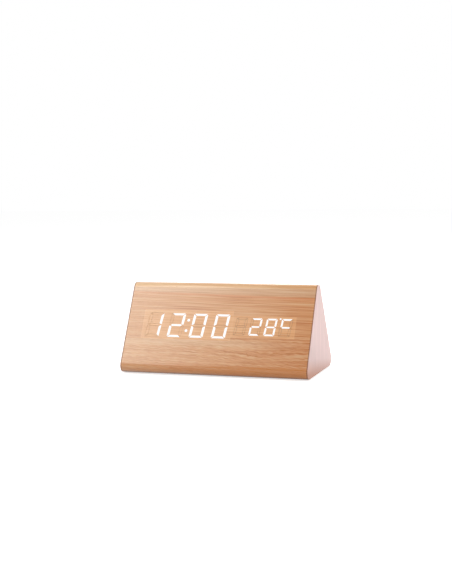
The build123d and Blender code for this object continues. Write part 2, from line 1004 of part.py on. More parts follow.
def push_button(place):
    """A button's cap, from its rounded end outside to the flange that keeps it in."""
    with BuildPart() as cap:
        with BuildSketch(rear_face.offset(button_stand)):
            with Locations(place):
                Circle(button_diameter / 2)
        extrude(amount=-(button_stand + flange_front_depth))
        fillet(cap.edges().sort_by(Axis.Y)[-1], radius=button_edge_round)
        with BuildSketch(rear_face.offset(-flange_front_depth)):
            with Locations(place):
                Circle(button_flange_diameter / 2)
        extrude(amount=-button_flange_thickness)
    return cap.part


def push_plunger(place):
    """The round plunger between a button's flange and the inside of its switch."""
    with BuildPart() as plunger:
        with BuildSketch(rear_face.offset(-flange_back_depth)):
            with Locations(place):
                Circle(plunger_diameter / 2)
        extrude(amount=-(switch_front_depth + plunger_seat - flange_back_depth))
    return plunger.part


with BuildPart() as set_button:
    add(push_button(button_places[0]))

with BuildPart() as up_button:
    add(push_button(button_places[1]))

with BuildPart() as down_button:
    add(push_button(button_places[2]))

with BuildPart() as set_plunger:
    add(push_plunger(button_places[0]))

with BuildPart() as up_plunger:
    add(push_plunger(button_places[1]))

with BuildPart() as down_plunger:
    add(push_plunger(button_places[2]))

socket_block_front = rear_face.offset(-wall_depth - socket_block_gap)
socket_front = rear_face.offset(-socket_nose_recess)

with BuildPart() as power_socket:
    with BuildSketch(socket_block_front):
        with Locations(socket_place):
            Rectangle(socket_block_length, socket_block_width)
    extrude(amount=-(control_board_depth - wall_depth - socket_block_gap))
    with BuildSketch(socket_front):
        with Locations(socket_place):
            Circle(socket_nose_diameter / 2)
    extrude(amount=-(wall_depth + socket_block_gap - socket_nose_recess))
    fillet(power_socket.edges().sort_by(Axis.Y)[-1], radius=socket_nose_round)
    with BuildSketch(socket_front):
        with Locations(socket_place):
            Circle(socket_bore_diameter / 2)
    extrude(amount=-socket_bore_depth, mode=Mode.SUBTRACT)
    with BuildSketch(socket_front):
        with Locations(socket_place):
            Circle(socket_pin_diameter / 2 + socket_pin_clearance)
    extrude(amount=-control_board_depth, mode=Mode.SUBTRACT)

with BuildPart() as power_socket_pin:
    with BuildSketch(rear_face.offset(-socket_pin_recess)):
        with Locations(socket_place):
            Circle(socket_pin_diameter / 2)
    extrude(amount=-(control_board_depth - socket_pin_recess))
    fillet(power_socket_pin.edges().sort_by(Axis.Y)[-1], radius=socket_pin_tip_round)

microphone_front = rear_face.offset(-wall_depth - microphone_gap)

with BuildPart() as microphone:
    with BuildSketch(microphone_front):
        with Locations(microphone_place):
            Circle(microphone_diameter / 2)
    extrude(amount=-microphone_height)
    fillet(microphone.edges().sort_by(Axis.Y)[-1], radius=microphone_edge_round)
    with BuildSketch(control_front):
        with Locations(microphone_place):
            with GridLocations(2 * leg_pitch, leg_pitch, 2, 1):
                Circle(leg_diameter / 2)
    extrude(amount=control_board_depth - wall_depth - microphone_gap - microphone_height)

with BuildPart() as temperature_sensor:
    with BuildSketch(rear_face.offset(-sensor_depth)):
        with Locations(sensor_place):
            Circle(sensor_diameter / 2)
    extrude(amount=-sensor_length)
    fillet(temperature_sensor.edges().sort_by(Axis.Y)[-1], radius=sensor_round)
    with BuildSketch(control_front):
        with Locations(sensor_place):
            with GridLocations(leg_pitch, leg_pitch, 2, 1):
                Circle(leg_diameter / 2)
    extrude(amount=control_board_depth - sensor_depth - sensor_length)

with BuildPart() as storage_capacitor:
    with BuildSketch(control_back):
        with Locations(socket_place):
            Rectangle(capacitor_base_side, capacitor_base_side)
    extrude(amount=-capacitor_base_height)
    with BuildSketch(control_back.offset(-capacitor_base_height)):
        with Locations(socket_place):
            Circle(capacitor_diameter / 2)
    extrude(amount=-(capacitor_height - capacitor_base_height))
    fillet(storage_capacitor.edges().sort_by(Axis.Y)[0], radius=capacitor_edge_round)

lead_plug_place = (-lead_plug_shift, rear_drop)

with BuildPart() as lead_plug:
    with BuildSketch(control_back):
        with Locations(lead_plug_place):
            Rectangle(lead_plug_length, lead_plug_width)
    extrude(amount=-lead_plug_height)
    chamfer(lead_plug.edges().group_by(Axis.Y)[0], length=plug_wall / 2)


# Battery box


def tongue_notch_x():
    """How far out the notches for the door's tongues reach, past the tongues' ends."""
    return door_length / 2 + tongue_reach + tongue_lip_gap + door_clearance


tongue_under_z = base_z + tongue_rise
lip_top_z = tongue_under_z - tongue_lip_gap

with BuildPart() as battery_box:
    with BuildSketch(Plane.XY.offset(base_z)):
        RectangleRounded(flange_length, flange_width, flange_corner_radius)
    extrude(amount=flange_thickness)
    with BuildSketch(Plane.XY.offset(flange_top_z)):
        Rectangle(tray_length + 2 * tray_wall, tray_width + 2 * tray_wall)
    extrude(amount=roof_top_z - flange_top_z)
    fillet(
        battery_box.edges().group_by(Axis.Z)[-1],
        radius=tray_wall,
    )
    with BuildSketch(Plane.XY.offset(base_z)):
        Rectangle(tray_length, tray_width)
    extrude(amount=roof_under_z - base_z, mode=Mode.SUBTRACT)
    with BuildSketch(Plane.XY.offset(base_z)):
        Rectangle(recess_length, recess_width)
    extrude(amount=recess_top_z - base_z, mode=Mode.SUBTRACT)
    with BuildSketch(Plane.XY.offset(roof_under_z)):
        with GridLocations(0, cell_pitch, 1, cell_count - 1):
            Rectangle(cell_length, tray_rib_width)
    extrude(amount=-tray_rib_height)
    with BuildSketch(Plane.XY.offset(lip_top_z)):
        with Locations((-(tongue_notch_x() + tray_length / 2) / 2, 0)):
            with GridLocations(0, tongue_spread, 1, 2):
                Rectangle(tongue_notch_x() - tray_length / 2, tongue_width + 2 * door_clearance)
    extrude(amount=flange_top_z - lip_top_z, mode=Mode.SUBTRACT)
    with BuildSketch(Plane.XY.offset(base_z)):
        with Locations(((notch_end_x + door_length / 2) / 2, 0)):
            Rectangle(notch_end_x - door_length / 2, latch_width + 2 * door_clearance)
    extrude(amount=flange_thickness, mode=Mode.SUBTRACT)
    with BuildSketch(Plane.XY.offset(base_z)):
        with Locations((notch_end_x, 0)):
            Circle(scoop_radius)
            with Locations((-scoop_radius, 0)):
                Rectangle(2 * scoop_radius, 2 * scoop_radius, mode=Mode.SUBTRACT)
    extrude(amount=scoop_depth, taper=scoop_taper_angle, mode=Mode.SUBTRACT)
    for side, row_y in ((1, cell_rows[0]), (1, cell_rows[-1])):
        with BuildSketch(Plane.XY.offset(roof_under_z)):
            with Locations((side * (tray_length - contact_thickness) / 2, row_y)):
                Rectangle(
                    contact_thickness + 2 * contact_tab_clearance,
                    contact_tab_width + 2 * contact_tab_clearance,
                )
        extrude(amount=tray_wall, mode=Mode.SUBTRACT)
    with Locations(
        *[Location((x, y, base_z), (180, 0, 0)) for x, y in box_screw_places]
    ):
        CounterSinkHole(
            box_screw_diameter / 2 + screw_clearance,
            box_screw_head_diameter / 2 + screw_clearance,
            flange_thickness,
            90,
        )

with BuildPart(Plane.XY.offset(base_z)) as battery_box_screws:
    with Locations(*box_screw_places):
        Cone(
            box_screw_head_diameter / 2,
            box_screw_diameter / 2,
            (box_screw_head_diameter - box_screw_diameter) / 2,
            align=(Align.CENTER, Align.CENTER, Align.MIN),
        )
        Cylinder(
            box_screw_diameter / 2,
            box_screw_length,
            align=(Align.CENTER, Align.CENTER, Align.MIN),
        )


# Cells, contacts and springs. The cells lie side by side, turned about from one to the next

contact_inner_x = tray_length / 2 - contact_thickness
cell_sides = [1 - 2 * (place % 2) for place in range(cell_count)]
nub_end_x = contact_inner_x - contact_dimple_height

with BuildPart() as battery_cells:
    for side, row_y in zip(cell_sides, cell_rows):
        start = Plane(
            origin=(side * nub_end_x, row_y, cell_axis_z), x_dir=(0, 1, 0), z_dir=(side, 0, 0)
        )
        with BuildSketch(start):
            Circle(cell_nub_diameter / 2)
        extrude(amount=-cell_nub_height)
        with BuildSketch(start.offset(-cell_nub_height)):
            Circle(cell_diameter / 2)
        extrude(amount=-(cell_length - cell_nub_height))
    fillet(
        battery_cells.edges()
        .filter_by(GeomType.CIRCLE)
        .filter_by(lambda edge: edge.radius > cell_nub_diameter),
        radius=cell_edge_round,
    )

spring_length = 2 * contact_inner_x - contact_dimple_height - cell_length - 2 * spring_gap


def contact_plate(side, first, last, tab):
    """A contact plate on one end wall of the tray, across one cell or two."""
    middle = (cell_rows[first] + cell_rows[last]) / 2
    span = cell_rows[last] - cell_rows[first] + contact_width
    wall_plane = Plane(
        origin=(side * tray_length / 2, 0, cell_axis_z), x_dir=(0, 1, 0), z_dir=(side, 0, 0)
    )
    with BuildPart() as plate:
        with BuildSketch(wall_plane):
            with Locations((middle, 0)):
                Rectangle(span, contact_height)
        extrude(amount=-contact_thickness)
        if tab:
            tab_height = roof_top_z + contact_tab_height - cell_axis_z
            with BuildSketch(wall_plane):
                with Locations((middle, side * tab_height / 2)):
                    Rectangle(contact_tab_width, tab_height)
            extrude(amount=-contact_thickness)
        for place in range(first, last + 1):
            if cell_sides[place] == side:
                with BuildSketch(wall_plane.offset(-contact_thickness)):
                    with Locations((cell_rows[place], 0)):
                        Circle(contact_dimple_diameter / 2)
                extrude(amount=-contact_dimple_height)
    return plate.part


with BuildPart() as battery_contacts:
    add(contact_plate(1, 0, 0, True))
    add(contact_plate(1, cell_count - 1, cell_count - 1, True))
    for first in range(1, cell_count - 2, 2):
        add(contact_plate(1, first, first + 1, False))
    for first in range(0, cell_count - 1, 2):
        add(contact_plate(-1, first, first + 1, False))


def conical_spring():
    """A cell's spring: one wire along X in leaning half turns, narrower towards the cell."""
    half_turns = 2 * spring_turns_count
    advance = (spring_length - spring_wire) / half_turns
    taper = (spring_large_radius - spring_small_radius) / half_turns
    with BuildPart() as spring:
        for half in range(half_turns):
            side = 1 - 2 * (half % 2)
            start_radius = spring_large_radius - half * taper
            span = 2 * start_radius - taper
            start = (half * advance, side * start_radius)
            middle = (start[0] + advance / 2, start[1] - side * span / 2)
            with BuildSketch():
                with Locations(start):
                    Circle(spring_wire / 2)
            revolve(axis=Axis(middle, (span, side * advance)), revolution_arc=180)
    return spring.part


# Each spring stands on the plate behind its cell, and faces the cell
spring_start_x = contact_inner_x - spring_gap - spring_wire / 2
spring_turn_angles = {-1: 180, 1: 0}

with BuildPart() as battery_springs:
    with Locations(
        *[
            Location((-side * spring_start_x, row_y, cell_axis_z), (0, 0, spring_turn_angles[side]))
            for side, row_y in zip(cell_sides, cell_rows)
        ]
    ):
        add(conical_spring())


# Battery door

door_end_x = door_length / 2

with BuildPart() as battery_door:
    with BuildSketch(Plane.XY.offset(base_z)):
        Rectangle(door_length, door_width)
        with Locations(((door_end_x + latch_inner_x) / 2, 0)):
            Rectangle(latch_inner_x - door_end_x, latch_width)
    extrude(amount=door_thickness)
    with BuildSketch(Plane.XY.offset(tongue_under_z)):
        with Locations((-door_end_x - tongue_reach / 2 + hinge_inset / 2, 0)):
            with GridLocations(0, tongue_spread, 1, 2):
                Rectangle(tongue_reach + hinge_inset, tongue_width)
    extrude(amount=tongue_thickness)
    with BuildSketch(Plane.XZ):
        with BuildLine():
            bend = latch_gap / 2 + latch_thickness / 2
            inner_line = latch_inner_x + latch_thickness / 2
            outer_line = inner_line + 2 * bend
            bend_z = latch_top_z - bend - latch_thickness / 2
            Line((inner_line, base_z), (inner_line, bend_z))
            CenterArc((inner_line + bend, bend_z), bend, 180, -180)
            Line((outer_line, bend_z), (outer_line, base_z))
        trace(line_width=latch_thickness)
        Polygon(
            (latch_outer_x, hook_under_z),
            (hook_end_x, hook_under_z),
            (latch_outer_x, hook_under_z + hook_height),
            align=None,
        )
    extrude(amount=latch_width / 2, both=True)


# Leads


def route_radii(points):
    """The largest radius that each corner of a route takes beside its neighbours."""
    radii = []
    for before, corner, after in zip(points, points[1:], points[2:]):
        first = corner - before
        second = after - corner
        turn = first.get_angle(second) * pi / 180
        radii.append(bend_share * min(first.length, second.length) / tan(turn / 2))
    return radii


bend_share = 0.45
tab_inner_x = tray_length / 2 - contact_thickness
lead_start_z = roof_top_z + contact_tab_height - lead_tab_drop
plug_entry = control_back.offset(-lead_plug_height / 2)


def plug_side(lift, away):
    """A place beside the lead plug: its lift over the plug's middle, and its distance out."""
    local = (lead_plug_place[0] - lead_plug_length / 2 - away, lead_plug_place[1] + lift, 0)
    return plug_entry.from_local_coords(local)


def lead(points):
    """A round lead along a route, with its bends as large as the runs allow."""
    with BuildPart() as wire:
        with BuildLine() as route:
            FilletPolyline(*points, radius=route_radii(points))
        with BuildSketch(Plane(origin=route.line @ 0, z_dir=route.line % 0)):
            Circle(lead_diameter / 2)
        sweep()
    return wire.part


# Share of the way from the tab to the plug, along X, Y and Z, of each bend of a lead
red_route_shares = [(0.45, 0.0, 0.0), (0.76, 0.55, 0.6)]
black_route_shares = [(0.5, 0.0, 0.0), (1.1, 0.42, 0.12), (0.75, 0.84, 0.66)]


def lead_points(row_y, lift, shares):
    """A lead's route, from its tab on the contact plate to the side of the plug."""
    start = Vector(tab_inner_x, row_y, lead_start_z)
    near = plug_side(lift, lead_entry_run)
    end = plug_side(lift, 0)
    way = near - start
    bends = [
        start + Vector(way.X * along, way.Y * across, way.Z * up) for along, across, up in shares
    ]
    return [start, *bends, near, end]


with BuildPart() as battery_lead_red:
    add(lead(lead_points(cell_rows[-1], -lead_pitch / 2, red_route_shares)))

with BuildPart() as battery_lead_black:
    add(lead(lead_points(cell_rows[0], lead_pitch / 2, black_route_shares)))

ribbon_start = board_back.offset(plug_wall - plug_height).from_local_coords((ribbon_shift, 0, 0))
ribbon_end = control_back.offset(plug_wall - plug_height).from_local_coords(
    (-ribbon_shift, rear_drop, 0)
)
ribbon_start_bend = ribbon_start - front_face.z_dir * (ribbon_run + plug_wall)
ribbon_end_bend = ribbon_end - rear_face.z_dir * (ribbon_run + plug_wall)

ribbon_points = [ribbon_start, ribbon_start_bend, ribbon_end_bend, ribbon_end]

with BuildPart() as ribbon_cable:
    with BuildLine():
        FilletPolyline(*ribbon_points, radius=route_radii(ribbon_points))
    with BuildSketch(Plane(origin=ribbon_start, x_dir=(1, 0, 0), z_dir=-front_face.z_dir)):
        Rectangle(ribbon_width, ribbon_thickness)
    sweep()


# Write every piece

pieces = {
    "front_board": front_board,
    "rear_board": rear_board,
    "base_board": base_board,
    "left_end_board": left_end_board,
    "right_end_board": right_end_board,
    "wrap_film": wrap_film,
    "left_end_film": left_end_film,
    "right_end_film": right_end_film,
    "feet": feet,
    "time_module_housing": time_module_housing,
    "time_module_base": time_module_base,
    "time_bars_lit": time_bars_lit,
    "time_bars_dark": time_bars_dark,
    "temp_module_housing": temp_module_housing,
    "temp_module_base": temp_module_base,
    "temp_bars_lit": temp_bars_lit,
    "temp_bars_dark": temp_bars_dark,
    "bar_chips": bar_chips,
    "module_pins": module_pins,
    "display_board": display_board,
    "display_board_spacers": display_board_spacers,
    "display_board_screws": display_board_screws,
    "controller_chip": controller_chip,
    "controller_legs": controller_legs,
    "clock_crystal": clock_crystal,
    "alarm_buzzer": alarm_buzzer,
    "coin_cell_holder": coin_cell_holder,
    "coin_cell": coin_cell,
    "small_parts": small_parts,
    "display_header": display_header,
    "ribbon_cable": ribbon_cable,
    "control_header": control_header,
    "control_board": control_board,
    "control_board_spacers": control_board_spacers,
    "control_board_screws": control_board_screws,
    "switch_housings": switch_housings,
    "set_button": set_button,
    "up_button": up_button,
    "down_button": down_button,
    "set_plunger": set_plunger,
    "up_plunger": up_plunger,
    "down_plunger": down_plunger,
    "power_socket": power_socket,
    "power_socket_pin": power_socket_pin,
    "microphone": microphone,
    "temperature_sensor": temperature_sensor,
    "storage_capacitor": storage_capacitor,
    "lead_plug": lead_plug,
    "battery_box": battery_box,
    "battery_box_screws": battery_box_screws,
    "battery_cells": battery_cells,
    "battery_contacts": battery_contacts,
    "battery_springs": battery_springs,
    "battery_lead_red": battery_lead_red,
    "battery_lead_black": battery_lead_black,
    "battery_door": battery_door,
}

for name, piece in pieces.items():
    piece.part.label = name
    export_step(piece.part, f"parts/{name}.step")
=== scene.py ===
# A desk clock in the shape of a triangular prism: a wood-grain film over a board case, digits
# that shine through its front, buttons and a socket behind, and a battery box underneath.
# Lengths are in metres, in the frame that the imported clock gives.

import json
import math
from dataclasses import dataclass
from functools import partial

import bmesh
import bpy
from bpy.props import FloatProperty, FloatVectorProperty, IntProperty, PointerProperty
from mathutils import Matrix, Vector


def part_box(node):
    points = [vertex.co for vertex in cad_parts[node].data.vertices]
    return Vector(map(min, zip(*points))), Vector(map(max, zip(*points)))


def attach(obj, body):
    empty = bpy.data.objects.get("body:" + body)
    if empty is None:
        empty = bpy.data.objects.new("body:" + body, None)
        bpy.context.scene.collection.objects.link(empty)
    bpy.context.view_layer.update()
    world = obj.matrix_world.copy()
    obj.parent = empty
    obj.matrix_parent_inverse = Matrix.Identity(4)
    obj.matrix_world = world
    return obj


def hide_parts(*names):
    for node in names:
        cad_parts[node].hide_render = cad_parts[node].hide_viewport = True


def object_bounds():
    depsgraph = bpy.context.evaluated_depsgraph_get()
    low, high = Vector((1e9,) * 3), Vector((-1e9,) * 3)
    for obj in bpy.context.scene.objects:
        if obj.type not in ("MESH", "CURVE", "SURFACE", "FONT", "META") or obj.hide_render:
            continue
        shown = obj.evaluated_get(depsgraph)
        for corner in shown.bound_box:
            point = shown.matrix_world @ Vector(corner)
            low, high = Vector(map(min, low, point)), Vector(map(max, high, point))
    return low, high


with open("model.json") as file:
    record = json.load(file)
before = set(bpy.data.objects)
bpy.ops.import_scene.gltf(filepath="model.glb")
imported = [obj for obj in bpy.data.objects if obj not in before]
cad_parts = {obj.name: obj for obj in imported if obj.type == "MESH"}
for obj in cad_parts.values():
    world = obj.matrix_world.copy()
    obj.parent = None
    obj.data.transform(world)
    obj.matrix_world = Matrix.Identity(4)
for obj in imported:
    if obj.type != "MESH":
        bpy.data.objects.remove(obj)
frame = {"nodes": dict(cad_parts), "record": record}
cad_low, cad_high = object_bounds()

bl_info = {
    "name": "Desk clock",
    "version": (1, 0, 0),
    "blender": (4, 5, 0),
    "location": "3D View > Sidebar > Clock",
    "description": "Dresses a triangular desk clock in printed film, lit digits and trim",
    "category": "Object",
}

mm = 0.001
CASE = "case"
BUTTONS = ("set_button", "up_button", "down_button")


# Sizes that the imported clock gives


def middle_of(node):
    """Middle of a node's box."""
    low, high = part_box(node)
    return (low + high) / 2


foot_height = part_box("feet")[1].z
film_thickness = cad_high.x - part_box("wrap_film")[1].x
box_low, box_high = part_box("battery_box")
door_low, door_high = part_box("battery_door")


@dataclass(frozen=True)
class Section:
    """The clock's rounded triangular section, with Y across the clock and Z up."""

    depth: float
    height: float
    radius: float
    base: float

    @property
    def slope(self):
        """Slope of the front and back faces."""
        return math.atan2(self.height - 2 * self.radius, self.depth / 2 - self.radius)

    @property
    def low_centre(self):
        """How far out the lower edges' arcs have their centres."""
        return self.depth / 2 - self.radius

    @property
    def half_flat(self):
        """Half of the flat part of the front or back face."""
        return math.hypot(self.height - 2 * self.radius, self.low_centre) / 2

    @property
    def sharp_half_base(self):
        """Half base of the sharp triangle that the section is rounded from."""
        return self.low_centre + self.radius / math.tan(self.slope / 2)

    @property
    def face_middle(self):
        """Middle of the back face's flat, across and up."""
        return Vector(
            (
                self.low_centre / 2 + self.radius * math.sin(self.slope),
                self.base + self.height / 2 + self.radius * math.cos(self.slope),
            )
        )

    def face(self, side):
        """From a face's own plane to the clock: side is -1 for the front and 1 for the back."""
        across, up = self.face_middle
        turn = Matrix.Rotation(math.pi * (side + 1) / 2, 4, "Z")
        return (
            Matrix.Translation((0, side * across, up)) @ turn @ Matrix.Rotation(self.slope, 4, "X")
        )

    def outline(self, steps):
        """Points of the rounded section, from the front's lower edge round under the clock."""
        centres = [
            (-self.low_centre, self.base + self.radius, math.pi / 2 + self.slope),
            (self.low_centre, self.base + self.radius, -math.pi / 2),
            (0, self.base + self.height - self.radius, math.pi / 2 - self.slope),
        ]
        turns = [math.pi - self.slope, math.pi - self.slope, 2 * self.slope]
        return [
            point
            for (across, up, start), turn in zip(centres, turns)
            for point in arc(across, up, self.radius, start, turn, steps)
        ]

    def round_place(self, across, up):
        """How far round the film a point lies, from the middle of the front up and over."""
        middle_across, middle_up = self.face_middle
        rise = (middle_across - abs(across)) * math.cos(self.slope)
        rise += (up - middle_up) * math.sin(self.slope)
        over_top = 2 * self.slope * self.radius
        if up < self.base + self.radius / 2 and abs(across) <= self.low_centre:
            under = self.radius * (math.pi - self.slope)
            return -self.half_flat - under - (across + self.low_centre)
        if rise > self.half_flat:
            turn = math.atan2(across, up - (self.base + self.height - self.radius))
            return self.half_flat + self.radius * (self.slope + turn)
        if rise < -self.half_flat:
            turn = math.atan2(abs(across) - self.low_centre, up - (self.base + self.radius))
            beyond = self.radius * (turn - self.slope)
            if across < 0:
                return -self.half_flat - beyond
            return 3 * self.half_flat + over_top + beyond
        if across < 0:
            return rise
        return 2 * self.half_flat + over_top - rise


@dataclass(frozen=True)
class DigitRow:
    """A row of digits, measured on the front face from the middle of its flat."""

    name: str
    middle: float
    rise: float
    pitch: float
    width: float
    height: float
    bar: float
    post: float
    corner: float
    lit: tuple
    dot_width: float
    dots: tuple


# Settings


def linear(hex_code):
    """An sRGB hex colour as linear red, green, blue and a full alpha."""
    parts = [int(hex_code[start : start + 2], 16) / 255 for start in (1, 3, 5)]
    return (
        *[part / 12.92 if part <= 0.04045 else ((part + 0.055) / 1.055) ** 2.4 for part in parts],
        1,
    )


LengthProperty = partial(FloatProperty, unit="LENGTH")
AngleProperty = partial(FloatProperty, unit="ROTATION")
PowerProperty = partial(FloatProperty, unit="POWER")
ColourProperty = partial(FloatVectorProperty, subtype="COLOR")


class ClockCaseSettings(bpy.types.PropertyGroup):
    """Sizes of the case, its films and its feet"""

    edge_radius: LengthProperty(
        name="Edge radius",
        description="Outer radius of the case's three long edges",
        default=5.5 * mm,
    )
    edge_steps: IntProperty(
        name="Edge steps", description="Flats that make up each rounded edge", default=28
    )
    rim_bevel: LengthProperty(
        name="Rim bevel",
        description="Soft edge where the wrap film and the end films meet",
        default=0.2 * mm,
    )
    seam_width: LengthProperty(
        name="Seam width",
        description="Gap at the wrap film's seam under the case",
        default=0.2 * mm,
    )
    foot_width: LengthProperty(name="Foot width", description="Width of a foot", default=8 * mm)
    foot_round: LengthProperty(
        name="Foot edge", description="Rounding of a foot's lower edge", default=0.25 * mm
    )


class ClockFilmSettings(bpy.types.PropertyGroup):
    """Colours of the films"""

    dark_grain: ColourProperty(
        name="Dark grain",
        description="Darkest lines of the wood print",
        default=linear("#AA6129")[:3],
    )
    deep_grain: ColourProperty(
        name="Deep grain",
        description="Deeper tone of the wood print",
        default=linear("#B7763F")[:3],
    )
    usual_grain: ColourProperty(
        name="Usual grain",
        description="Usual tone of the wood print",
        default=linear("#C28653")[:3],
    )
    pale_grain: ColourProperty(
        name="Pale grain",
        description="Palest tone of the wood print",
        default=linear("#CBA277")[:3],
    )
    end_tone: ColourProperty(
        name="End film",
        description="Pale pink of the end films",
        default=linear("#E8C7C2")[:3],
    )
    # Painted shade and a painted warm reflection along the end films' lower edge
    end_low_tone: ColourProperty(
        name="End film, low",
        description="Warmer tone along the end films' lower edge",
        default=linear("#C5876A")[:3],
    )


class ClockDisplaySettings(bpy.types.PropertyGroup):
    """Sizes of the lit and unlit bars"""

    bar_gap: LengthProperty(
        name="Bar gap",
        description="Gap between two bars of a digit at their mitre",
        default=0.25 * mm,
    )
    end_gap: LengthProperty(
        name="Middle gap",
        description="Gap between the upper and lower standing bars",
        default=0.8 * mm,
    )
    slant: AngleProperty(
        name="Slant", description="How far the digits lean to the right", default=math.radians(6.2)
    )
    bar_round: LengthProperty(
        name="Bar corner", description="Rounding of each bar's corners", default=0.25 * mm
    )
    glow_inset: LengthProperty(
        name="Glow inset",
        description="How far the light stays inside the edge of a bar",
        default=0.13 * mm,
    )
    glow_height: LengthProperty(
        name="Glow height",
        description="How far the lit bars stand above the film",
        default=0.04 * mm,
    )
    outline_width: LengthProperty(
        name="Outline width",
        description="Width of the faint outline of an unlit bar",
        default=0.4 * mm,
    )
    outline_height: LengthProperty(
        name="Outline height",
        description="How far the faint outline of an unlit bar stands above the film",
        default=0.02 * mm,
    )
    glow_strength: FloatProperty(
        name="Glow", description="How brightly the lit bars shine", default=0.97
    )


class ClockBackSettings(bpy.types.PropertyGroup):
    """Sizes of the holes and buttons in the back"""

    row_rise: LengthProperty(
        name="Row rise",
        description="How far up the back face's flat the row of buttons stands",
        default=25 * mm,
    )
    button_gap: LengthProperty(
        name="Button gap", description="Gap round each button", default=0.2 * mm
    )
    button_width: LengthProperty(
        name="Button width", description="Width of each button", default=5 * mm
    )
    button_stand: LengthProperty(
        name="Button stand", description="How far each button stands out", default=0.8 * mm
    )
    button_round: LengthProperty(
        name="Button edge", description="Rounding of each button's end", default=0.5 * mm
    )
    button_dish: LengthProperty(
        name="Button dish",
        description="How far each button's end is dished for the finger",
        default=0.14 * mm,
    )
    flange_width: LengthProperty(
        name="Button flange",
        description="Width of the flange that holds a button in",
        default=7.5 * mm,
    )
    flange_depth: LengthProperty(
        name="Flange depth", description="How deep the flange lies", default=5.5 * mm
    )
    flange_thickness: LengthProperty(
        name="Flange thickness", description="Thickness of the flange", default=1 * mm
    )
    socket_hole: LengthProperty(
        name="Socket hole",
        description="Width of the hole for the adapter socket",
        default=8.5 * mm,
    )
    microphone_hole: LengthProperty(
        name="Microphone hole", description="Width of the microphone's hole", default=1.6 * mm
    )
    sensor_hole: LengthProperty(
        name="Sensor hole", description="Width of the temperature sensor's hole", default=2.4 * mm
    )


class ClockBatterySettings(bpy.types.PropertyGroup):
    """Sizes of the battery door and the screws of its box"""

    opening_gap: LengthProperty(
        name="Opening gap", description="Gap round the battery box's flange", default=0.2 * mm
    )
    opening_corner: LengthProperty(
        name="Flange corner",
        description="Corner radius of the battery box's flange",
        default=4 * mm,
    )
    door_length: LengthProperty(
        name="Door length", description="Length of the door's plate", default=53.1 * mm
    )
    door_thickness: LengthProperty(
        name="Door thickness", description="Thickness of the door's plate", default=1.4 * mm
    )
    door_bevel: LengthProperty(
        name="Door bevel", description="Bevel of the door's edges", default=0.15 * mm
    )
    tongue_width: LengthProperty(
        name="Tongue width", description="Width of each of the door's tongues", default=6 * mm
    )
    tongue_spacing: LengthProperty(
        name="Tongue spacing", description="Distance between the tongues", default=28 * mm
    )
    latch_width: LengthProperty(
        name="Latch width", description="Width of the door's latch", default=10 * mm
    )
    latch_height: LengthProperty(
        name="Latch height", description="Height of the latch's bend", default=4.4 * mm
    )
    latch_strip: LengthProperty(
        name="Latch strip", description="Thickness of the latch's strip", default=0.8 * mm
    )
    latch_gap: LengthProperty(
        name="Latch gap", description="Gap inside the latch's bend", default=1 * mm
    )
    hook_height: LengthProperty(
        name="Hook height", description="Height of the latch's hook", default=2.5 * mm
    )
    rib_count: IntProperty(name="Ribs", description="Finger ribs on the door", default=5)
    rib_pitch: LengthProperty(
        name="Rib pitch", description="Spacing of the door's finger ribs", default=1.6 * mm
    )
    rib_length: LengthProperty(
        name="Rib length", description="Length of each finger rib", default=12 * mm
    )
    rib_width: LengthProperty(
        name="Rib width", description="Width of each finger rib", default=0.8 * mm
    )
    rib_stand: LengthProperty(
        name="Rib stand", description="How far each finger rib stands out", default=0.25 * mm
    )
    screw_head: LengthProperty(
        name="Screw head", description="Width of a screw's head", default=3.8 * mm
    )
    screw_shank: LengthProperty(
        name="Screw shank", description="Width of a screw's thread", default=2 * mm
    )
    screw_pitch: LengthProperty(
        name="Screw pitch", description="Pitch of a screw's thread", default=0.7 * mm
    )
    screw_tooth: LengthProperty(
        name="Screw tooth", description="Depth of a screw's thread", default=0.14 * mm
    )
    slot_length: LengthProperty(
        name="Slot length", description="Length of a screw's cross slot", default=2.2 * mm
    )
    slot_width: LengthProperty(
        name="Slot width", description="Width of a screw's cross slot", default=0.56 * mm
    )
    slot_depth: LengthProperty(
        name="Slot depth", description="Depth of a screw's cross slot", default=0.7 * mm
    )
    screw_seed: IntProperty(
        name="Screw seed", description="Seed for how each screw is turned", default=4
    )


class ClockStageSettings(bpy.types.PropertyGroup):
    """Camera, lamps and floor"""

    camera_place: FloatVectorProperty(
        name="Camera place",
        description="Where the camera stands",
        subtype="TRANSLATION",
        default=(0.2935, -0.8423, 0.1599),
    )
    camera_yaw: AngleProperty(
        name="Yaw", description="How far the camera turns to the left", default=math.radians(19.18)
    )
    camera_pitch: AngleProperty(
        name="Pitch", description="How far the camera looks down", default=math.radians(6.32)
    )
    camera_roll: AngleProperty(
        name="Roll", description="How far the camera leans", default=math.radians(-1.13)
    )
    lens: FloatProperty(
        name="Lens", description="Focal length in millimetres", default=71.17, unit="CAMERA"
    )
    floor_size: LengthProperty(name="Floor", description="Width of the floor", default=6)
    floor_lift: FloatProperty(
        name="Floor lift", description="Light that whitens the floor for the camera", default=0.66
    )
    sky_strength: FloatProperty(
        name="Sky", description="Strength of the even light all round", default=0.4
    )
    key_strength: PowerProperty(
        name="Key light", description="Power of the soft light in front", default=7.2
    )
    fill_strength: PowerProperty(
        name="Fill light", description="Power of the light on the right", default=4.4
    )
    front_strength: PowerProperty(
        name="Front light", description="Power of the low light in front", default=1.6
    )
    back_strength: PowerProperty(
        name="Back light", description="Power of the light behind", default=8.0
    )


def section_of(case):
    """The clock's section, from its packed size."""
    return Section(cad_high.y - cad_low.y, cad_high.z - foot_height, case.edge_radius, foot_height)


# Meshes


def arc(across, up, radius, start, turn, steps):
    """Points along an arc, both ends among them."""
    return [
        (
            across + radius * math.cos(start + turn * step / steps),
            up + radius * math.sin(start + turn * step / steps),
        )
        for step in range(steps + 1)
    ]


def circle(across, up, radius, steps=48):
    """Points round a whole circle."""
    return arc(across, up, radius, 0, math.tau, steps)[:-1]


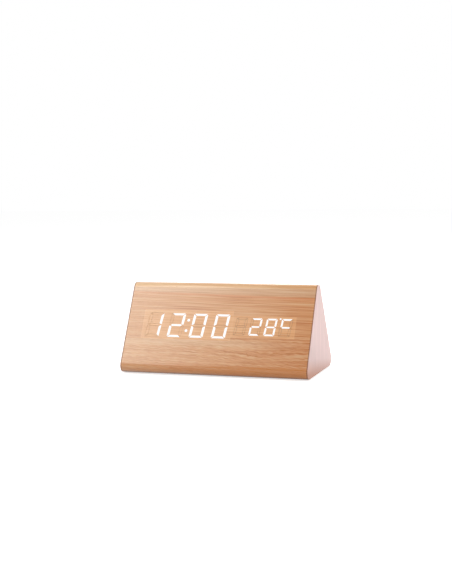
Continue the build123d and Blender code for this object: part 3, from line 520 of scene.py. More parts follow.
def rounded_rectangle(length, width, radius, steps=8):
    """Points round a rectangle with rounded corners, about its middle."""
    across, up = length / 2 - radius, width / 2 - radius
    corners = [(across, up), (-across, up), (-across, -up), (across, -up)]
    return [
        point
        for quarter, (x, y) in enumerate(corners)
        for point in arc(x, y, radius, quarter * math.pi / 2, math.pi / 2, steps)
    ]


def add_prism(mesh, outline, low, high, place):
    """Adds a closed prism to a mesh, from an outline in its own plane between two heights."""
    lower = [mesh.verts.new(place @ Vector((x, y, low))) for x, y in outline]
    upper = [mesh.verts.new(place @ Vector((x, y, high))) for x, y in outline]
    faces = [mesh.faces.new(lower[::-1]), mesh.faces.new(upper)]
    for here in range(len(outline)):
        after = (here + 1) % len(outline)
        faces.append(mesh.faces.new((lower[here], lower[after], upper[after], upper[here])))
    bmesh.ops.recalc_face_normals(mesh, faces=faces)


def turned_mesh(profile, steps):
    """A closed round shape from points of radius and height that start and end on its axis."""
    mesh = bmesh.new()
    rings = []
    for radius, height in profile:
        points = [(0, 0)] if radius == 0 else circle(0, 0, radius, steps)
        rings.append([mesh.verts.new((x, y, height)) for x, y in points])
    for lower, upper in zip(rings, rings[1:]):
        for here in range(steps):
            after = (here + 1) % steps
            corners = [
                lower[here % len(lower)],
                lower[after % len(lower)],
                upper[after % len(upper)],
                upper[here % len(upper)],
            ]
            mesh.faces.new(list(dict.fromkeys(corners)))
    bmesh.ops.recalc_face_normals(mesh, faces=mesh.faces)
    return mesh


def object_of(name, mesh):
    """A new object of a mesh that was being edited."""
    data = bpy.data.meshes.new(name)
    mesh.to_mesh(data)
    mesh.free()
    made = bpy.data.objects.new(name, data)
    bpy.context.scene.collection.objects.link(made)
    return made


def prism_object(name, outline, low, high, place=Matrix.Identity(4)):
    """A new object of one closed prism."""
    mesh = bmesh.new()
    add_prism(mesh, outline, low, high, place)
    return object_of(name, mesh)


def bake(piece):
    """Turns what a piece's modifiers give into its plain mesh."""
    graph = bpy.context.evaluated_depsgraph_get()
    made = bpy.data.meshes.new_from_object(
        piece.evaluated_get(graph), preserve_all_data_layers=True, depsgraph=graph
    )
    raw = piece.data
    piece.modifiers.clear()
    piece.data = made
    bpy.data.meshes.remove(raw)
    if not made.polygons:
        raise RuntimeError(f"{piece.name} came out with no faces")
    return piece


def combine(piece, tool, operation):
    """Cuts a tool out of a piece, or joins it on, and removes the tool."""
    modifier = piece.modifiers.new("Combine", "BOOLEAN")
    modifier.object = tool
    modifier.operation = operation
    modifier.solver = "EXACT"
    bake(piece)
    bpy.data.objects.remove(tool)
    return piece


def soften(piece, width, angle=math.radians(50)):
    """Bevels a piece's sharp edges."""
    modifier = piece.modifiers.new("Soften", "BEVEL")
    modifier.width = width
    modifier.segments = 2
    modifier.limit_method = "ANGLE"
    modifier.angle_limit = angle
    return bake(piece)


def shade(piece, flat_ways=()):
    """Smooths a piece's faces, but for those that look one of the flat ways."""
    flat = math.cos(math.radians(0.5))
    for polygon in piece.data.polygons:
        polygon.use_smooth = all(polygon.normal.dot(way) < flat for way in flat_ways)


def settle(piece, body, slot, *nodes):
    """Ties a finished piece to the body that it moves with, and hides the nodes it stands for."""
    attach(piece, body)
    if nodes:
        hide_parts(*nodes)
    return piece


def store_wrap(piece, section):
    """Keeps each point's place in the film's flat sheet, along the case and round it."""
    attribute = piece.data.attributes.new("wrap", "FLOAT_VECTOR", "POINT")
    for vertex, place in zip(piece.data.vertices, attribute.data):
        x, y, z = vertex.co
        place.vector = (x, section.round_place(y, z), 0)


# Node trees


def add_node(tree, kind, *inputs, named=(), **settings):
    """Adds a node. An input is a value, a socket, or a node whose first output it takes."""
    node = tree.nodes.new(kind)
    for setting, value in settings.items():
        setattr(node, setting, value)
    for place, value in [*enumerate(inputs), *dict(named).items()]:
        if isinstance(value, bpy.types.Node):
            value = value.outputs[0]
        if isinstance(value, bpy.types.NodeSocket):
            tree.links.new(value, node.inputs[place])
        elif value is not None:
            node.inputs[place].default_value = value
    return node


def geometry_tree(name, **inputs):
    """A geometry tree with named inputs of each kind and one for the material, the sockets
    that carry them, and what adds nodes to it."""
    tree = bpy.data.node_groups.new(name, "GeometryNodeTree")
    for kind, labels in {**inputs, "Material": ("Material",)}.items():
        for label in labels:
            tree.interface.new_socket(label, in_out="INPUT", socket_type="NodeSocket" + kind)
    tree.interface.new_socket("Geometry", in_out="OUTPUT", socket_type="NodeSocketGeometry")
    return tree, tree.nodes.new("NodeGroupInput").outputs, partial(add_node, tree)


def end_tree(tree, given, shape):
    """Ends a geometry tree with real copies and their material."""
    real = add_node(tree, "GeometryNodeRealizeInstances", shape)
    dressed = add_node(
        tree, "GeometryNodeSetMaterial", real, named={"Material": given["Material"]}
    )
    add_node(tree, "NodeGroupOutput", dressed)
    return tree


def grow(name, tree, material, **values):
    """A plain mesh object of what a geometry tree makes of some values. A value's name is
    its input's, in small letters and with underscores."""
    piece = object_of(name, bmesh.new())
    modifier = piece.modifiers.new(tree.name, "NODES")
    modifier.node_group = tree
    values["material"] = material
    for item in tree.interface.items_tree:
        if item.in_out == "INPUT":
            modifier[item.identifier] = values.pop(item.name.lower().replace(" ", "_"))
    if values:
        raise RuntimeError(f"{tree.name} has no input for {', '.join(values)}")
    return bake(piece)


def film_tree():
    """A film bent round a rounded triangle: an outline that a flat strip follows."""
    tree, given, add = geometry_tree(
        "Wrapped film",
        Float=("Length", "Half Base", "Slope", "Base Height", "Edge Radius", "Thickness"),
        Int=("Edge Steps",),
    )
    triangle = add("GeometryNodeCurvePrimitiveCircle", 3)
    rise = add("ShaderNodeMath", given["Slope"], operation="TANGENT")
    apex = add("ShaderNodeMath", rise, given["Half Base"], operation="MULTIPLY")
    top = add("ShaderNodeMath", apex, given["Base Height"], operation="ADD")
    front = add("ShaderNodeMath", given["Half Base"], -1, operation="MULTIPLY")
    corners = ((front, given["Base Height"]), (given["Half Base"], given["Base Height"]), (0, top))
    choice = tree.nodes.new("GeometryNodeIndexSwitch")
    choice.data_type = "VECTOR"
    choice.index_switch_items.new()
    tree.links.new(add("GeometryNodeInputIndex").outputs[0], choice.inputs[0])
    for place, corner in enumerate(corners):
        tree.links.new(add("ShaderNodeCombineXYZ", *corner).outputs[0], choice.inputs[1 + place])
    sharp = add("GeometryNodeSetPosition", triangle, named={"Position": choice})
    outline = add(
        "GeometryNodeFilletCurve",
        sharp,
        named={"Count": given["Edge Steps"], "Radius": given["Edge Radius"]},
        mode="POLY",
    )
    strip = add(
        "GeometryNodeCurvePrimitiveQuadrilateral",
        given["Thickness"],
        given["Length"],
        mode="RECTANGLE",
    )
    inward = add("ShaderNodeMath", given["Thickness"], -0.5, operation="MULTIPLY")
    shift = add("ShaderNodeCombineXYZ", inward)
    edge_strip = add("GeometryNodeTransform", strip, named={"Translation": shift})
    film = add("GeometryNodeCurveToMesh", outline, edge_strip)
    turn = (math.pi / 2, 0, math.pi / 2)
    upright = add("GeometryNodeTransform", film, named={"Rotation": turn})
    return end_tree(tree, given, upright)


def copies_tree():
    """Copies of a piece in rows and columns, each turned by chance up to a limit."""
    tree, given, add = geometry_tree(
        "Copies in rows",
        Object=("Piece",),
        Int=("Columns", "Rows", "Seed"),
        Float=("Length", "Width", "Turn"),
        Vector=("Middle",),
    )
    sizes = [given[label] for label in ("Length", "Width", "Columns", "Rows")]
    grid = add("GeometryNodeMeshGrid", *sizes)
    piece = add("GeometryNodeObjectInfo", given["Piece"]).outputs["Geometry"]
    most = add("ShaderNodeCombineXYZ", 0, 0, given["Turn"])
    turns = add(
        "FunctionNodeRandomValue",
        (0, 0, 0),
        most,
        named={"Seed": given["Seed"]},
        data_type="FLOAT_VECTOR",
    )
    copies = add(
        "GeometryNodeInstanceOnPoints", grid, named={"Instance": piece, "Rotation": turns}
    )
    placed = add("GeometryNodeTransform", copies, named={"Translation": given["Middle"]})
    return end_tree(tree, given, placed)


def copies_of(piece, name, slot, columns, rows, length, width, middle=(0, 0, 0), turn=0.0, seed=0):
    """Copies of a piece in rows and columns, in place of the piece."""
    material = clock_material(slot)
    piece.data.materials.append(material)
    copies = grow(
        name,
        copies_tree(),
        material,
        piece=piece,
        columns=columns,
        rows=rows,
        length=length,
        width=width,
        middle=middle,
        turn=turn,
        seed=seed,
    )
    bpy.data.objects.remove(piece)
    return copies


DIGIT_PLACES = ("First Digit", "Second Digit", "Third Digit", "Fourth Digit")


def digits_tree():
    """A row of digits: each one's bars stand up from the face, or show as thin outlines."""
    tree, given, add = geometry_tree(
        "Digits",
        Object=("Digit",),
        Float=("Pitch", "Row Middle", "Height", "Outline Width", "Face Slope"),
        Int=DIGIT_PLACES,
        Bool=("Unlit",),
        Vector=("Face Middle",),
    )
    back = add("ShaderNodeMath", given["Pitch"], -1.5, operation="MULTIPLY")
    first = add("ShaderNodeMath", back, given["Row Middle"], operation="ADD")
    start = add("ShaderNodeCombineXYZ", first)
    step = add("ShaderNodeCombineXYZ", given["Pitch"])
    places = add("GeometryNodeMeshLine", 4, named={"Start Location": start, "Offset": step})
    choice = tree.nodes.new("GeometryNodeIndexSwitch")
    choice.data_type = "INT"
    choice.index_switch_items.new()
    choice.index_switch_items.new()
    tree.links.new(add("GeometryNodeInputIndex").outputs[0], choice.inputs[0])
    for place, label in enumerate(DIGIT_PLACES):
        tree.links.new(given[label], choice.inputs[1 + place])
    marked = add(
        "GeometryNodeStoreNamedAttribute",
        places,
        named={"Name": "shown", "Value": choice},
        data_type="INT",
        domain="POINT",
    )
    digit = add("GeometryNodeObjectInfo", given["Digit"]).outputs["Geometry"]
    row = add("GeometryNodeInstanceOnPoints", marked, named={"Instance": digit})
    bars = add("GeometryNodeRealizeInstances", row)
    shown = add("GeometryNodeInputNamedAttribute", "shown", data_type="INT")
    bar = add("GeometryNodeInputNamedAttribute", "bar", data_type="INT")
    weight = add("ShaderNodeMath", 2, bar, operation="POWER")
    share = add("ShaderNodeMath", shown, weight, operation="DIVIDE")
    whole = add("ShaderNodeMath", share, operation="FLOOR")
    lit = add("ShaderNodeMath", whole, 2, operation="MODULO")
    left_out = add(
        "FunctionNodeCompare",
        lit,
        given["Unlit"],
        named={"Epsilon": 0.25},
        data_type="FLOAT",
        operation="EQUAL",
    )
    kept = add("GeometryNodeDeleteGeometry", bars, left_out, domain="FACE")
    raised = add(
        "GeometryNodeExtrudeMesh",
        kept,
        named={"Offset Scale": given["Height"], "Individual": True},
        mode="FACES",
    )
    under = add("GeometryNodeFlipFaces", kept)
    solid = tree.nodes.new("GeometryNodeJoinGeometry")
    tree.links.new(raised.outputs[0], solid.inputs[0])
    tree.links.new(under.outputs[0], solid.inputs[0])
    closed = add("GeometryNodeMergeByDistance", solid, named={"Distance": 0.002 * mm})
    edges = add("GeometryNodeMeshToCurve", kept)
    wire = add(
        "GeometryNodeCurvePrimitiveQuadrilateral",
        given["Outline Width"],
        given["Height"],
        mode="RECTANGLE",
    )
    outlines = add("GeometryNodeCurveToMesh", edges, wire)
    shape = add("GeometryNodeSwitch", given["Unlit"], closed, outlines, input_type="GEOMETRY")
    slope = add("ShaderNodeCombineXYZ", given["Face Slope"])
    placed = add(
        "GeometryNodeTransform",
        shape,
        named={"Translation": given["Face Middle"], "Rotation": slope},
    )
    return end_tree(tree, given, placed)


# Materials


def new_material(name, roughness, metallic=0.0, ior=1.5):
    """A material with its shader's constant values set."""
    material = bpy.data.materials.new(name)
    material.use_nodes = True
    tree = material.node_tree
    shader = tree.nodes["Principled BSDF"]
    shader.inputs["Roughness"].default_value = roughness
    shader.inputs["Metallic"].default_value = metallic
    shader.inputs["IOR"].default_value = ior
    return material, tree, shader


@dataclass(frozen=True)
class Marks:
    """One layer of the wood print: how long and how high a mark is, and how strong."""

    length: float
    height: float
    weight: float


BANDS = Marks(160 * mm, 5 * mm, 0.42)
STREAKS = Marks(110 * mm, 1.5 * mm, 0.95)
FIBRES = Marks(40 * mm, 0.75 * mm, 1.1)
DASHES = Marks(7 * mm, 0.8 * mm, 1.15)
WAVER = Marks(85 * mm, 24 * mm, 2.0 * mm)
RIPPLE = Marks(6 * mm, 3 * mm, 2.2 * mm)
GRAIN_STOPS = {"dark_grain": 0.12, "deep_grain": 0.36, "usual_grain": 0.56, "pale_grain": 0.88}

# How far the grain and the dashes fall along the case, and how much the grain calms down
# in the lower half
GRAIN_FALL = 0.022
DASH_FALL = 0.12
LOW_CALM = 0.3

# Spacing of the pores, along the grain and across it
PORE_SPACING = (9 * mm, 4 * mm)


@dataclass(frozen=True)
class Fade:
    """Where a tint of the wood print starts and where it is full: along the case, up the
    film, with the fall of the grain, or by the distance from the film's lower edge."""

    way: str
    start: float
    full: float
    least: float = 0.0
    smooth: bool = False


FADES = {
    "low": Fade("up", -4 * mm, -14 * mm, smooth=True),
    "front": Fade("up", 46 * mm, 34 * mm, smooth=True),
    "upper": Fade("fall", 24 * mm, 28.5 * mm, smooth=True),
    "below_crest": Fade("up", 34 * mm, 30.5 * mm, smooth=True),
    "below": Fade("up", -18.5 * mm, -14.5 * mm, smooth=True),
    "left": Fade("along", 75 * mm, -75 * mm),
    "right": Fade("along", 20 * mm, 75 * mm),
    "not_right": Fade("along", 75 * mm, 20 * mm),
    "foot": Fade("up", -30.3 * mm, -32.3 * mm),
    "foot_right": Fade("along", -75 * mm, 20 * mm, least=0.5),
    # Painted contact shadow, strongest where the lower edge turns under
    "edge": Fade("off_edge", 2.6 * mm, 0.6 * mm),
}

# Middle and reach of the rectangles that a module shows as, along the case and up the film
WINDOWS = {
    "time": ((-25 * mm, 36.7 * mm), (0.6 * mm, 12.15 * mm)),
    "temp": ((36.7 * mm, 25 * mm), (0.15 * mm, 8.85 * mm)),
}
WINDOW_RIM = 0.7 * mm

# Height and width of the streaks across the upper part of the front
DARK_LINES = {"streak": (25.4 * mm, 1.1 * mm), "faint_streak": (23.4 * mm, 0.7 * mm)}

# Middle and reach of the place where the grain arches over a knot
KNOT = ((37.4 * mm, 68 * mm), (-24.22 * mm, 12.5 * mm))
KNOT_RISE = 4 * mm

# Middle and reach of the film's turn over the top, where the painted highlight lies, up the film,
# and of the painted groove shade at its cut edges, along the case
CREST = (36.5 * mm, 5 * mm)
CUT_EDGE = (74.3 * mm, 0.35 * mm)

# How far up the film lie its turn under the case, along which the painted contact shadow runs, and
# the foot of the windows
LOWER_EDGE = -41 * mm
WINDOWS_FOOT = -11.5 * mm

TINTS = (
    # The paler, greyer band along the top of the front
    ("#BEAA8F", 0.3, "upper", "below_crest"),
    # The dark streak below it, and a fainter one under that
    ("#BD6A2B", 0.65, "streak"),
    ("#BD6A2B", 0.35, "faint_streak"),
    # The module behind the film shows as a paler window with a crisp edge
    ("#E9AE73", 0.34, "time_window"),
    ("#F0CBA2", 0.07, "time_rim"),
    ("#E9AE73", 0.34, "temp_window"),
    ("#F0CBA2", 0.07, "temp_rim"),
    # Painted reflection: paler towards the left end, standing in for part of the satin film's
    # sheen under the soft light in front; the lamps give the rest
    ("#EFD1AE", 1, "left", "front", "paleness"),
    # Paler just under the windows, but for the right
    ("#D9BD9C", 0.3, "below", "under_windows", "not_right"),
    # Deeper towards the lower right, and along the foot of the front
    ("#B06A38", 0.3, "right", "low"),
    ("#B67134", 0.75, "foot", "foot_right"),
    # Painted shadow: dark where the lower edge turns under, standing in for the contact shadow
    # under the front
    ("#4F2609", 0.75, "edge"),
    # Painted highlight where the film turns over the top, most of all on the left
    ("#EBC08C", 0.28, "crest"),
    ("#F3D0A6", 0.35, "crest", "left"),
    # Painted shade in the groove where the wrap film meets the end films, over the film's cut edge
    # at both ends and just inside it
    ("#6B3F22", 0.7, "cut_edge"),
    # Pores: a few small dark flecks
    ("#8E5636", 0.5, "pore"),
)


def marks(tree, place, layer):
    """A layer's marks at a place in the film, from minus half to half of its weight."""
    add = partial(add_node, tree)
    sizes = (1 / layer.length, 1 / layer.height, 0)
    spread = add("ShaderNodeVectorMath", place, sizes, operation="MULTIPLY")
    noise = add("ShaderNodeTexNoise", spread, named={"Scale": 1, "Detail": 1})
    middle = add("ShaderNodeMath", noise, 0.5, operation="SUBTRACT")
    return add("ShaderNodeMath", middle, layer.weight, operation="MULTIPLY")


def faded_masks(tree, along, up, fall):
    """Where each tint of the wood print that fades in lies in the film's flat sheet."""
    add = partial(add_node, tree)
    off_edge = add("ShaderNodeMath", up, LOWER_EDGE, operation="SUBTRACT")
    ways = {
        "along": along,
        "up": up,
        "fall": fall,
        "off_edge": add("ShaderNodeMath", off_edge, operation="ABSOLUTE"),
    }
    return {
        name: add(
            "ShaderNodeMapRange",
            ways[fade.way],
            fade.start,
            fade.full,
            fade.least,
            interpolation_type="SMOOTHSTEP" if fade.smooth else "LINEAR",
        )
        for name, fade in FADES.items()
    }


def add_crisp_masks(tree, masks, along, up, lean, flow):
    """Adds where the streaks, windows and pores of the wood print lie, and where its painted
    reflection, painted highlight over the top and painted groove shade at the cut edges lie.
    """
    add = partial(add_node, tree)
    for name, (height, width) in DARK_LINES.items():
        away = add("ShaderNodeMath", lean, height, operation="SUBTRACT")
        far = add("ShaderNodeMath", away, operation="ABSOLUTE")
        masks[name] = add(
            "ShaderNodeMapRange", far, width, width / 3, interpolation_type="SMOOTHSTEP"
        )
    for name, spans in WINDOWS.items():
        boxes = []
        for inset in (0, WINDOW_RIM):
            sides = [
                add("ShaderNodeMath", place, middle, reach - inset, operation="COMPARE")
                for place, (middle, reach) in zip((along, up), spans)
            ]
            boxes.append(add("ShaderNodeMath", *sides, operation="MULTIPLY"))
        masks[name + "_window"] = boxes[0]
        masks[name + "_rim"] = add("ShaderNodeMath", *boxes, operation="SUBTRACT")
    # Painted reflection towards the left end: how much of it is painted on, more in the band along
    # the top
    top = add("ShaderNodeMath", masks["upper"], masks["below_crest"], operation="MULTIPLY")
    masks["paleness"] = add("ShaderNodeMath", top, 0.18, 0.3, operation="MULTIPLY_ADD")
    masks["under_windows"] = add("ShaderNodeMath", up, WINDOWS_FOOT, operation="LESS_THAN")
    # Painted highlight where the film turns over the top
    masks["crest"] = add("ShaderNodeMath", up, *CREST, operation="COMPARE")
    from_middle = add("ShaderNodeMath", along, operation="ABSOLUTE")
    masks["cut_edge"] = add("ShaderNodeMath", from_middle, *CUT_EDGE, operation="COMPARE")
    spread = (*[1 / spacing for spacing in PORE_SPACING], 0)
    pore_place = add("ShaderNodeVectorMath", flow, spread, operation="MULTIPLY")
    pore = add("ShaderNodeTexVoronoi", pore_place, named={"Scale": 1})
    masks["pore"] = add("ShaderNodeMapRange", pore, 0.06, 0.03)


# How the film over a gap is shaded, towards the right and towards the left
GAP_SHADE = (0.74, 0.9)


def wood_print(name, film, gap_shade=None):
    """Vinyl film printed with wood grain and rolled to a satin surface: orange and pale brown
    fibres run along the case, with one dark red streak near the top, ripples in the lower half,
    and a paler window in front of each digit module. Painted light is added on top: a painted
    reflection paler towards the left end, a painted highlight over the top, a painted contact
    shadow where the lower edge turns under, and painted groove shade at both cut edges. Over a gap
    the film is darker, less so towards the left end."""
    material, tree, shader = new_material(name, 0.28, ior=1.53)
    add = partial(add_node, tree)
    sheet = add(
        "ShaderNodeAttribute", attribute_name="wrap", attribute_type="GEOMETRY"
    ).outputs["Vector"]
    parts = add("ShaderNodeSeparateXYZ", sheet)
    along, up = parts.outputs[0], parts.outputs[1]
    fall = add("ShaderNodeMath", along, GRAIN_FALL, up, operation="MULTIPLY_ADD")
    masks = faded_masks(tree, along, up, fall)
    low = masks["low"]
    waver = marks(tree, sheet, WAVER)
    ripple = add("ShaderNodeMath", marks(tree, sheet, RIPPLE), low, operation="MULTIPLY")
    knot_place = add(
        "ShaderNodeMapping",
        sheet,
        named={
            "Location": (*[-middle / reach for middle, reach in KNOT], 0),
            "Scale": (*[1 / reach for _, reach in KNOT], 1),
        },
    )
    knot = add("ShaderNodeTexGradient", knot_place, gradient_type="QUADRATIC_SPHERE")
    arch = add("ShaderNodeMath", knot.outputs[1], KNOT_RISE, operation="MULTIPLY")
    height = fall
    for shift in (waver, ripple, arch):
        height = add("ShaderNodeMath", height, shift, operation="ADD")
    flow = add("ShaderNodeCombineXYZ", along, height)
    bands, streaks, fibres = [marks(tree, flow, layer) for layer in (BANDS, STREAKS, FIBRES)]
    both = add("ShaderNodeMath", bands, streaks, operation="ADD")
    weaker = add("ShaderNodeMath", low, -LOW_CALM, 1, operation="MULTIPLY_ADD")
    broad = add("ShaderNodeMath", both, weaker, operation="MULTIPLY")
    slant = add("ShaderNodeMath", along, DASH_FALL, up, operation="MULTIPLY_ADD")
    dashes = marks(tree, add("ShaderNodeCombineXYZ", along, slant), DASHES)
    straight = add("ShaderNodeMath", broad, fibres, operation="ADD")
    whole = add("ShaderNodeMath", dashes, low, straight, operation="MULTIPLY_ADD")
    tone = add("ShaderNodeMath", whole, 0.5, operation="ADD")
    ramp = add("ShaderNodeValToRGB", tone)
    stops = ramp.color_ramp.elements
    stops.remove(stops[1])
    for grain, place in GRAIN_STOPS.items():
        stops.new(place).color = (*getattr(film, grain), 1)
    stops.remove(stops[0])
    printed = ramp.outputs[0]

    lean = add("ShaderNodeMath", waver, 0.15, fall, operation="MULTIPLY_ADD")
    add_crisp_masks(tree, masks, along, up, lean, flow)
    for colour, share, *limits in TINTS:
        for mask in limits:
            share = add("ShaderNodeMath", masks[mask], share, operation="MULTIPLY")
        printed = add(
            "ShaderNodeMix", named={0: share, 6: printed, 7: linear(colour)}, data_type="RGBA"
        ).outputs[2]
    if gap_shade:
        dark = add("ShaderNodeMapRange", along, 10 * mm, -60 * mm, *gap_shade)
        printed = add(
            "ShaderNodeMix",
            named={0: 1.0, 6: printed, 7: dark},
            data_type="RGBA",
            blend_type="MULTIPLY",
        ).outputs[2]
    tree.links.new(printed, shader.inputs["Base Color"])
    gloss = add("ShaderNodeMath", fibres, 0.1, 0.28, operation="MULTIPLY_ADD")
    tree.links.new(gloss.outputs[0], shader.inputs["Roughness"])
    relief = add("ShaderNodeBump", named={"Strength": 0.4, "Distance": 0.03 * mm, "Height": tone})
    tree.links.new(relief.outputs[0], shader.inputs["Normal"])
    return material


def end_print(film):
    """Vinyl film in a pale pink with a fine upright grain, satin. Along its lower edge it turns
    darker and warmer: painted shade with a painted warm reflection. It also carries painted shade
    in the corner low at the front."""
    material, tree, shader = new_material("Pale pink vinyl film", 0.42, ior=1.53)
    add = partial(add_node, tree)
    place = add("ShaderNodeTexCoord").outputs["Object"]
    parts = add("ShaderNodeSeparateXYZ", place)
    across, height = parts.outputs[1], parts.outputs[2]
    up = add("ShaderNodeMath", across, 0.15, height, operation="MULTIPLY_ADD")
    # Painted shade and a painted warm reflection towards the lower edge
    low = add("ShaderNodeMapRange", up, 11.5 * mm, -0.5 * mm)
    base = add(
        "ShaderNodeMix",
        named={0: low, 6: (*film.end_tone, 1), 7: (*film.end_low_tone, 1)},
        data_type="RGBA",
    ).outputs[2]

    # Fine fibres, wider clouds, and painted shade in the corner low at the front
    noises, shades = [], []
    for width, length, least in ((0.45 * mm, 14 * mm, 0.94), (2.6 * mm, 40 * mm, 0.93)):
        sizes = (0, 1 / width, 1 / length)
        spread = add("ShaderNodeVectorMath", place, sizes, operation="MULTIPLY")
        noises.append(add("ShaderNodeTexNoise", spread, named={"Scale": 1, "Detail": 2}))
        shades.append(add("ShaderNodeMapRange", noises[-1], 0.3, 0.7, least, 1.05))
    back_up = add("ShaderNodeMath", across, 0.6, height, operation="MULTIPLY_ADD")
    painted_corner_shade = add("ShaderNodeMapRange", back_up, 6 * mm, 26 * mm, 0.88)
    mottle = add("ShaderNodeMath", *shades, operation="MULTIPLY")
    mottle_and_painted_shade = add("ShaderNodeMath", mottle, painted_corner_shade, operation="MULTIPLY")
    seen = add(
        "ShaderNodeMix",
        named={0: 1.0, 6: base, 7: mottle_and_painted_shade},
        data_type="RGBA",
        blend_type="MULTIPLY",
    ).outputs[2]
    tree.links.new(seen, shader.inputs["Base Color"])
    relief = add(
        "ShaderNodeBump", named={"Strength": 0.3, "Distance": 0.02 * mm, "Height": noises[0]}
    )
    tree.links.new(relief.outputs[0], shader.inputs["Normal"])
    return material


def lit_resin(display):
    """Milky resin with a white chip behind it: an even white glow through the film, a
    little weaker in faint clouds where the resin is thicker."""
    material, tree, shader = new_material("Milky resin, lit", 0.6)
    add = partial(add_node, tree)
    place = add("ShaderNodeTexCoord").outputs["Object"]
    cloud = add("ShaderNodeTexNoise", place, named={"Scale": 1 / (4 * mm), "Detail": 1})
    tone = add(
        "ShaderNodeMix",
        named={0: cloud, 6: linear("#FFFFFF"), 7: linear("#FBFDFF")},
        data_type="RGBA",
    ).outputs[2]
    shader.inputs["Base Color"].default_value = linear("#3A3A3A")
    tree.links.new(tone, shader.inputs["Emission Color"])
    shader.inputs["Emission Strength"].default_value = display.glow_strength
    return material


@dataclass(frozen=True)
class Finish:
    """A plain finish: two tones that mix in a fine pattern, its gloss and its relief. The
    pattern's size and the relief's depth are in millimetres."""

    name: str
    tone: str
    second_tone: str
    grain: tuple
    roughness: float
    metallic: float
    relief: float


FINISHES = {
    # Pressed wood fibres, sanded: light brown with short darker fibres, quite dull
    "fibreboard": Finish("Fibreboard", "#C3A27A", "#A9875F", (1.6, 0.5, 0.5), 0.85, 0, 0.08),
    # Die-cut foam with tiny open cells: black and dull, with a fine pitted surface
    "foot_foam": Finish("Foam sheet", "#1E1E1F", "#2B2B2D", 0.3, 0.9, 0, 0.06),
    # Moulded polycarbonate filled with white pigment: bright white, faintly mottled
    "module_plastic": Finish("White polycarbonate", "#ECEAE4", "#E2E0D9", 3, 0.4, 0, 0.01),
    # Glass cloth in epoxy with white solder mask: white with a faint weave
    "module_board": Finish("White circuit board", "#E4E2D6", "#D8D6C8", 0.8, 0.5, 0, 0.01),
    # The same milky resin with no light behind it: dull off-white, cloudy
    "dark_resin": Finish("Milky resin, unlit", "#D9D4C8", "#CBC5B8", 2, 0.45, 0, 0.01),
    # Phosphor in silicone over a chip: saturated yellow, grainy
    "chip_phosphor": Finish("Phosphor", "#E8C531", "#D9B020", 0.2, 0.5, 0, 0.01),
    # Tin plated brass, drawn: bright grey with fine lines along the pins
    "tinned_metal": Finish("Tinned brass", "#C9C9C6", "#B4B4B1", (0.1, 0.1, 2), 0.3, 1, 0.005),
    # Turned nylon: translucent off-white, a little waxy
    "spacer_nylon": Finish("Nylon", "#E6E2D3", "#D8D3C2", 1.5, 0.45, 0, 0.01),
    # Zinc plated steel: bluish grey with a soft patchy shine
    "screw_steel": Finish("Zinc plated steel", "#B9BDC1", "#9DA2A8", 0.8, 0.35, 1, 0.01),
    # Epoxy moulding compound: near black, fine matt grain from the mould
    "chip_black": Finish("Epoxy moulding compound", "#1B1B1C", "#262627", 0.15, 0.6, 0, 0.01),
    # Drawn nickel silver can: pale metal with fine lines along it
    "crystal_can": Finish("Nickel silver", "#C4C1B8", "#AEABA2", (4, 0.15, 0.15), 0.28, 1, 0.005),
    # Moulded ABS of the sounder: black, half gloss
    "buzzer_plastic": Finish("Glossy black ABS", "#161617", "#202021", 1, 0.35, 0, 0.01),
    # Nickel plated steel of the coin cell: mirror-like with light scratches
    "cell_steel": Finish(
        "Nickel plated steel", "#C9C7C0", "#B9B7B0", (6, 0.2, 0.2), 0.25, 1, 0.005
    ),
    # Moulded polyamide headers: natural off-white, waxy
    "header_white": Finish("Natural polyamide", "#E3DDCB", "#D6CFBB", 1.2, 0.5, 0, 0.01),
    # Extruded vinyl round the ribbon's wires: grey, with one groove between two wires
    "ribbon_vinyl": Finish(
        "Grey ribbon vinyl", "#9DA0A3", "#86898C", (0.64, 60, 60), 0.5, 0, 0.15
    ),
    # Extruded vinyl: red, half gloss
    "red_vinyl": Finish("Red vinyl", "#B3201F", "#9E1A1A", 1, 0.4, 0, 0.01),
    # Extruded vinyl: black, half gloss
    "black_vinyl": Finish("Black vinyl", "#1A1A1B", "#242425", 1, 0.4, 0, 0.01),
    # Moulded ABS with a spark-eroded mould: black, evenly matt and finely pebbled
    "black_abs": Finish("Textured black ABS", "#1C1C1D", "#29292A", 0.35, 0.55, 0, 0.03),
    # Moulded ABS, polished by fingers: black, smoother than the box
    "button_abs": Finish("Polished black ABS", "#1F1F20", "#28282A", 0.5, 0.38, 0, 0.01),
    # Glass-filled polyester: black, dull, faint swirls from the mould's gate
    "socket_plastic": Finish(
        "Glass-filled polyester", "#19191A", "#242425", (1.2, 0.5, 0.5), 0.5, 0, 0.01
    ),
    # Nickel plated brass pin: warm bright metal
    "socket_metal": Finish(
        "Nickel plated brass", "#CFCBBE", "#BAB6A8", (0.1, 1, 0.1), 0.25, 1, 0.003
    ),
    # Drawn aluminium can: pale grey, satin
    "microphone_can": Finish("Drawn aluminium", "#C8C9CB", "#B3B4B6", (0.2, 3, 3), 0.35, 1, 0.005),
    # Dipped epoxy bead: deep brown-black, glossy, uneven
    "sensor_resin": Finish("Dipped epoxy", "#2A2220", "#3A2E2A", 0.9, 0.25, 0, 0.05),
    # Coated aluminium can: silver lacquer, half gloss
    "capacitor_can": Finish("Lacquered aluminium", "#BFC1C4", "#A9ABAE", 1, 0.3, 1, 0.005),
    # Nickel plated spring steel: bright, with drawing lines
    "contact_steel": Finish(
        "Nickel plated spring steel", "#C6C6C2", "#AFAFAB", (0.15, 2, 2), 0.3, 1, 0.005
    ),
}


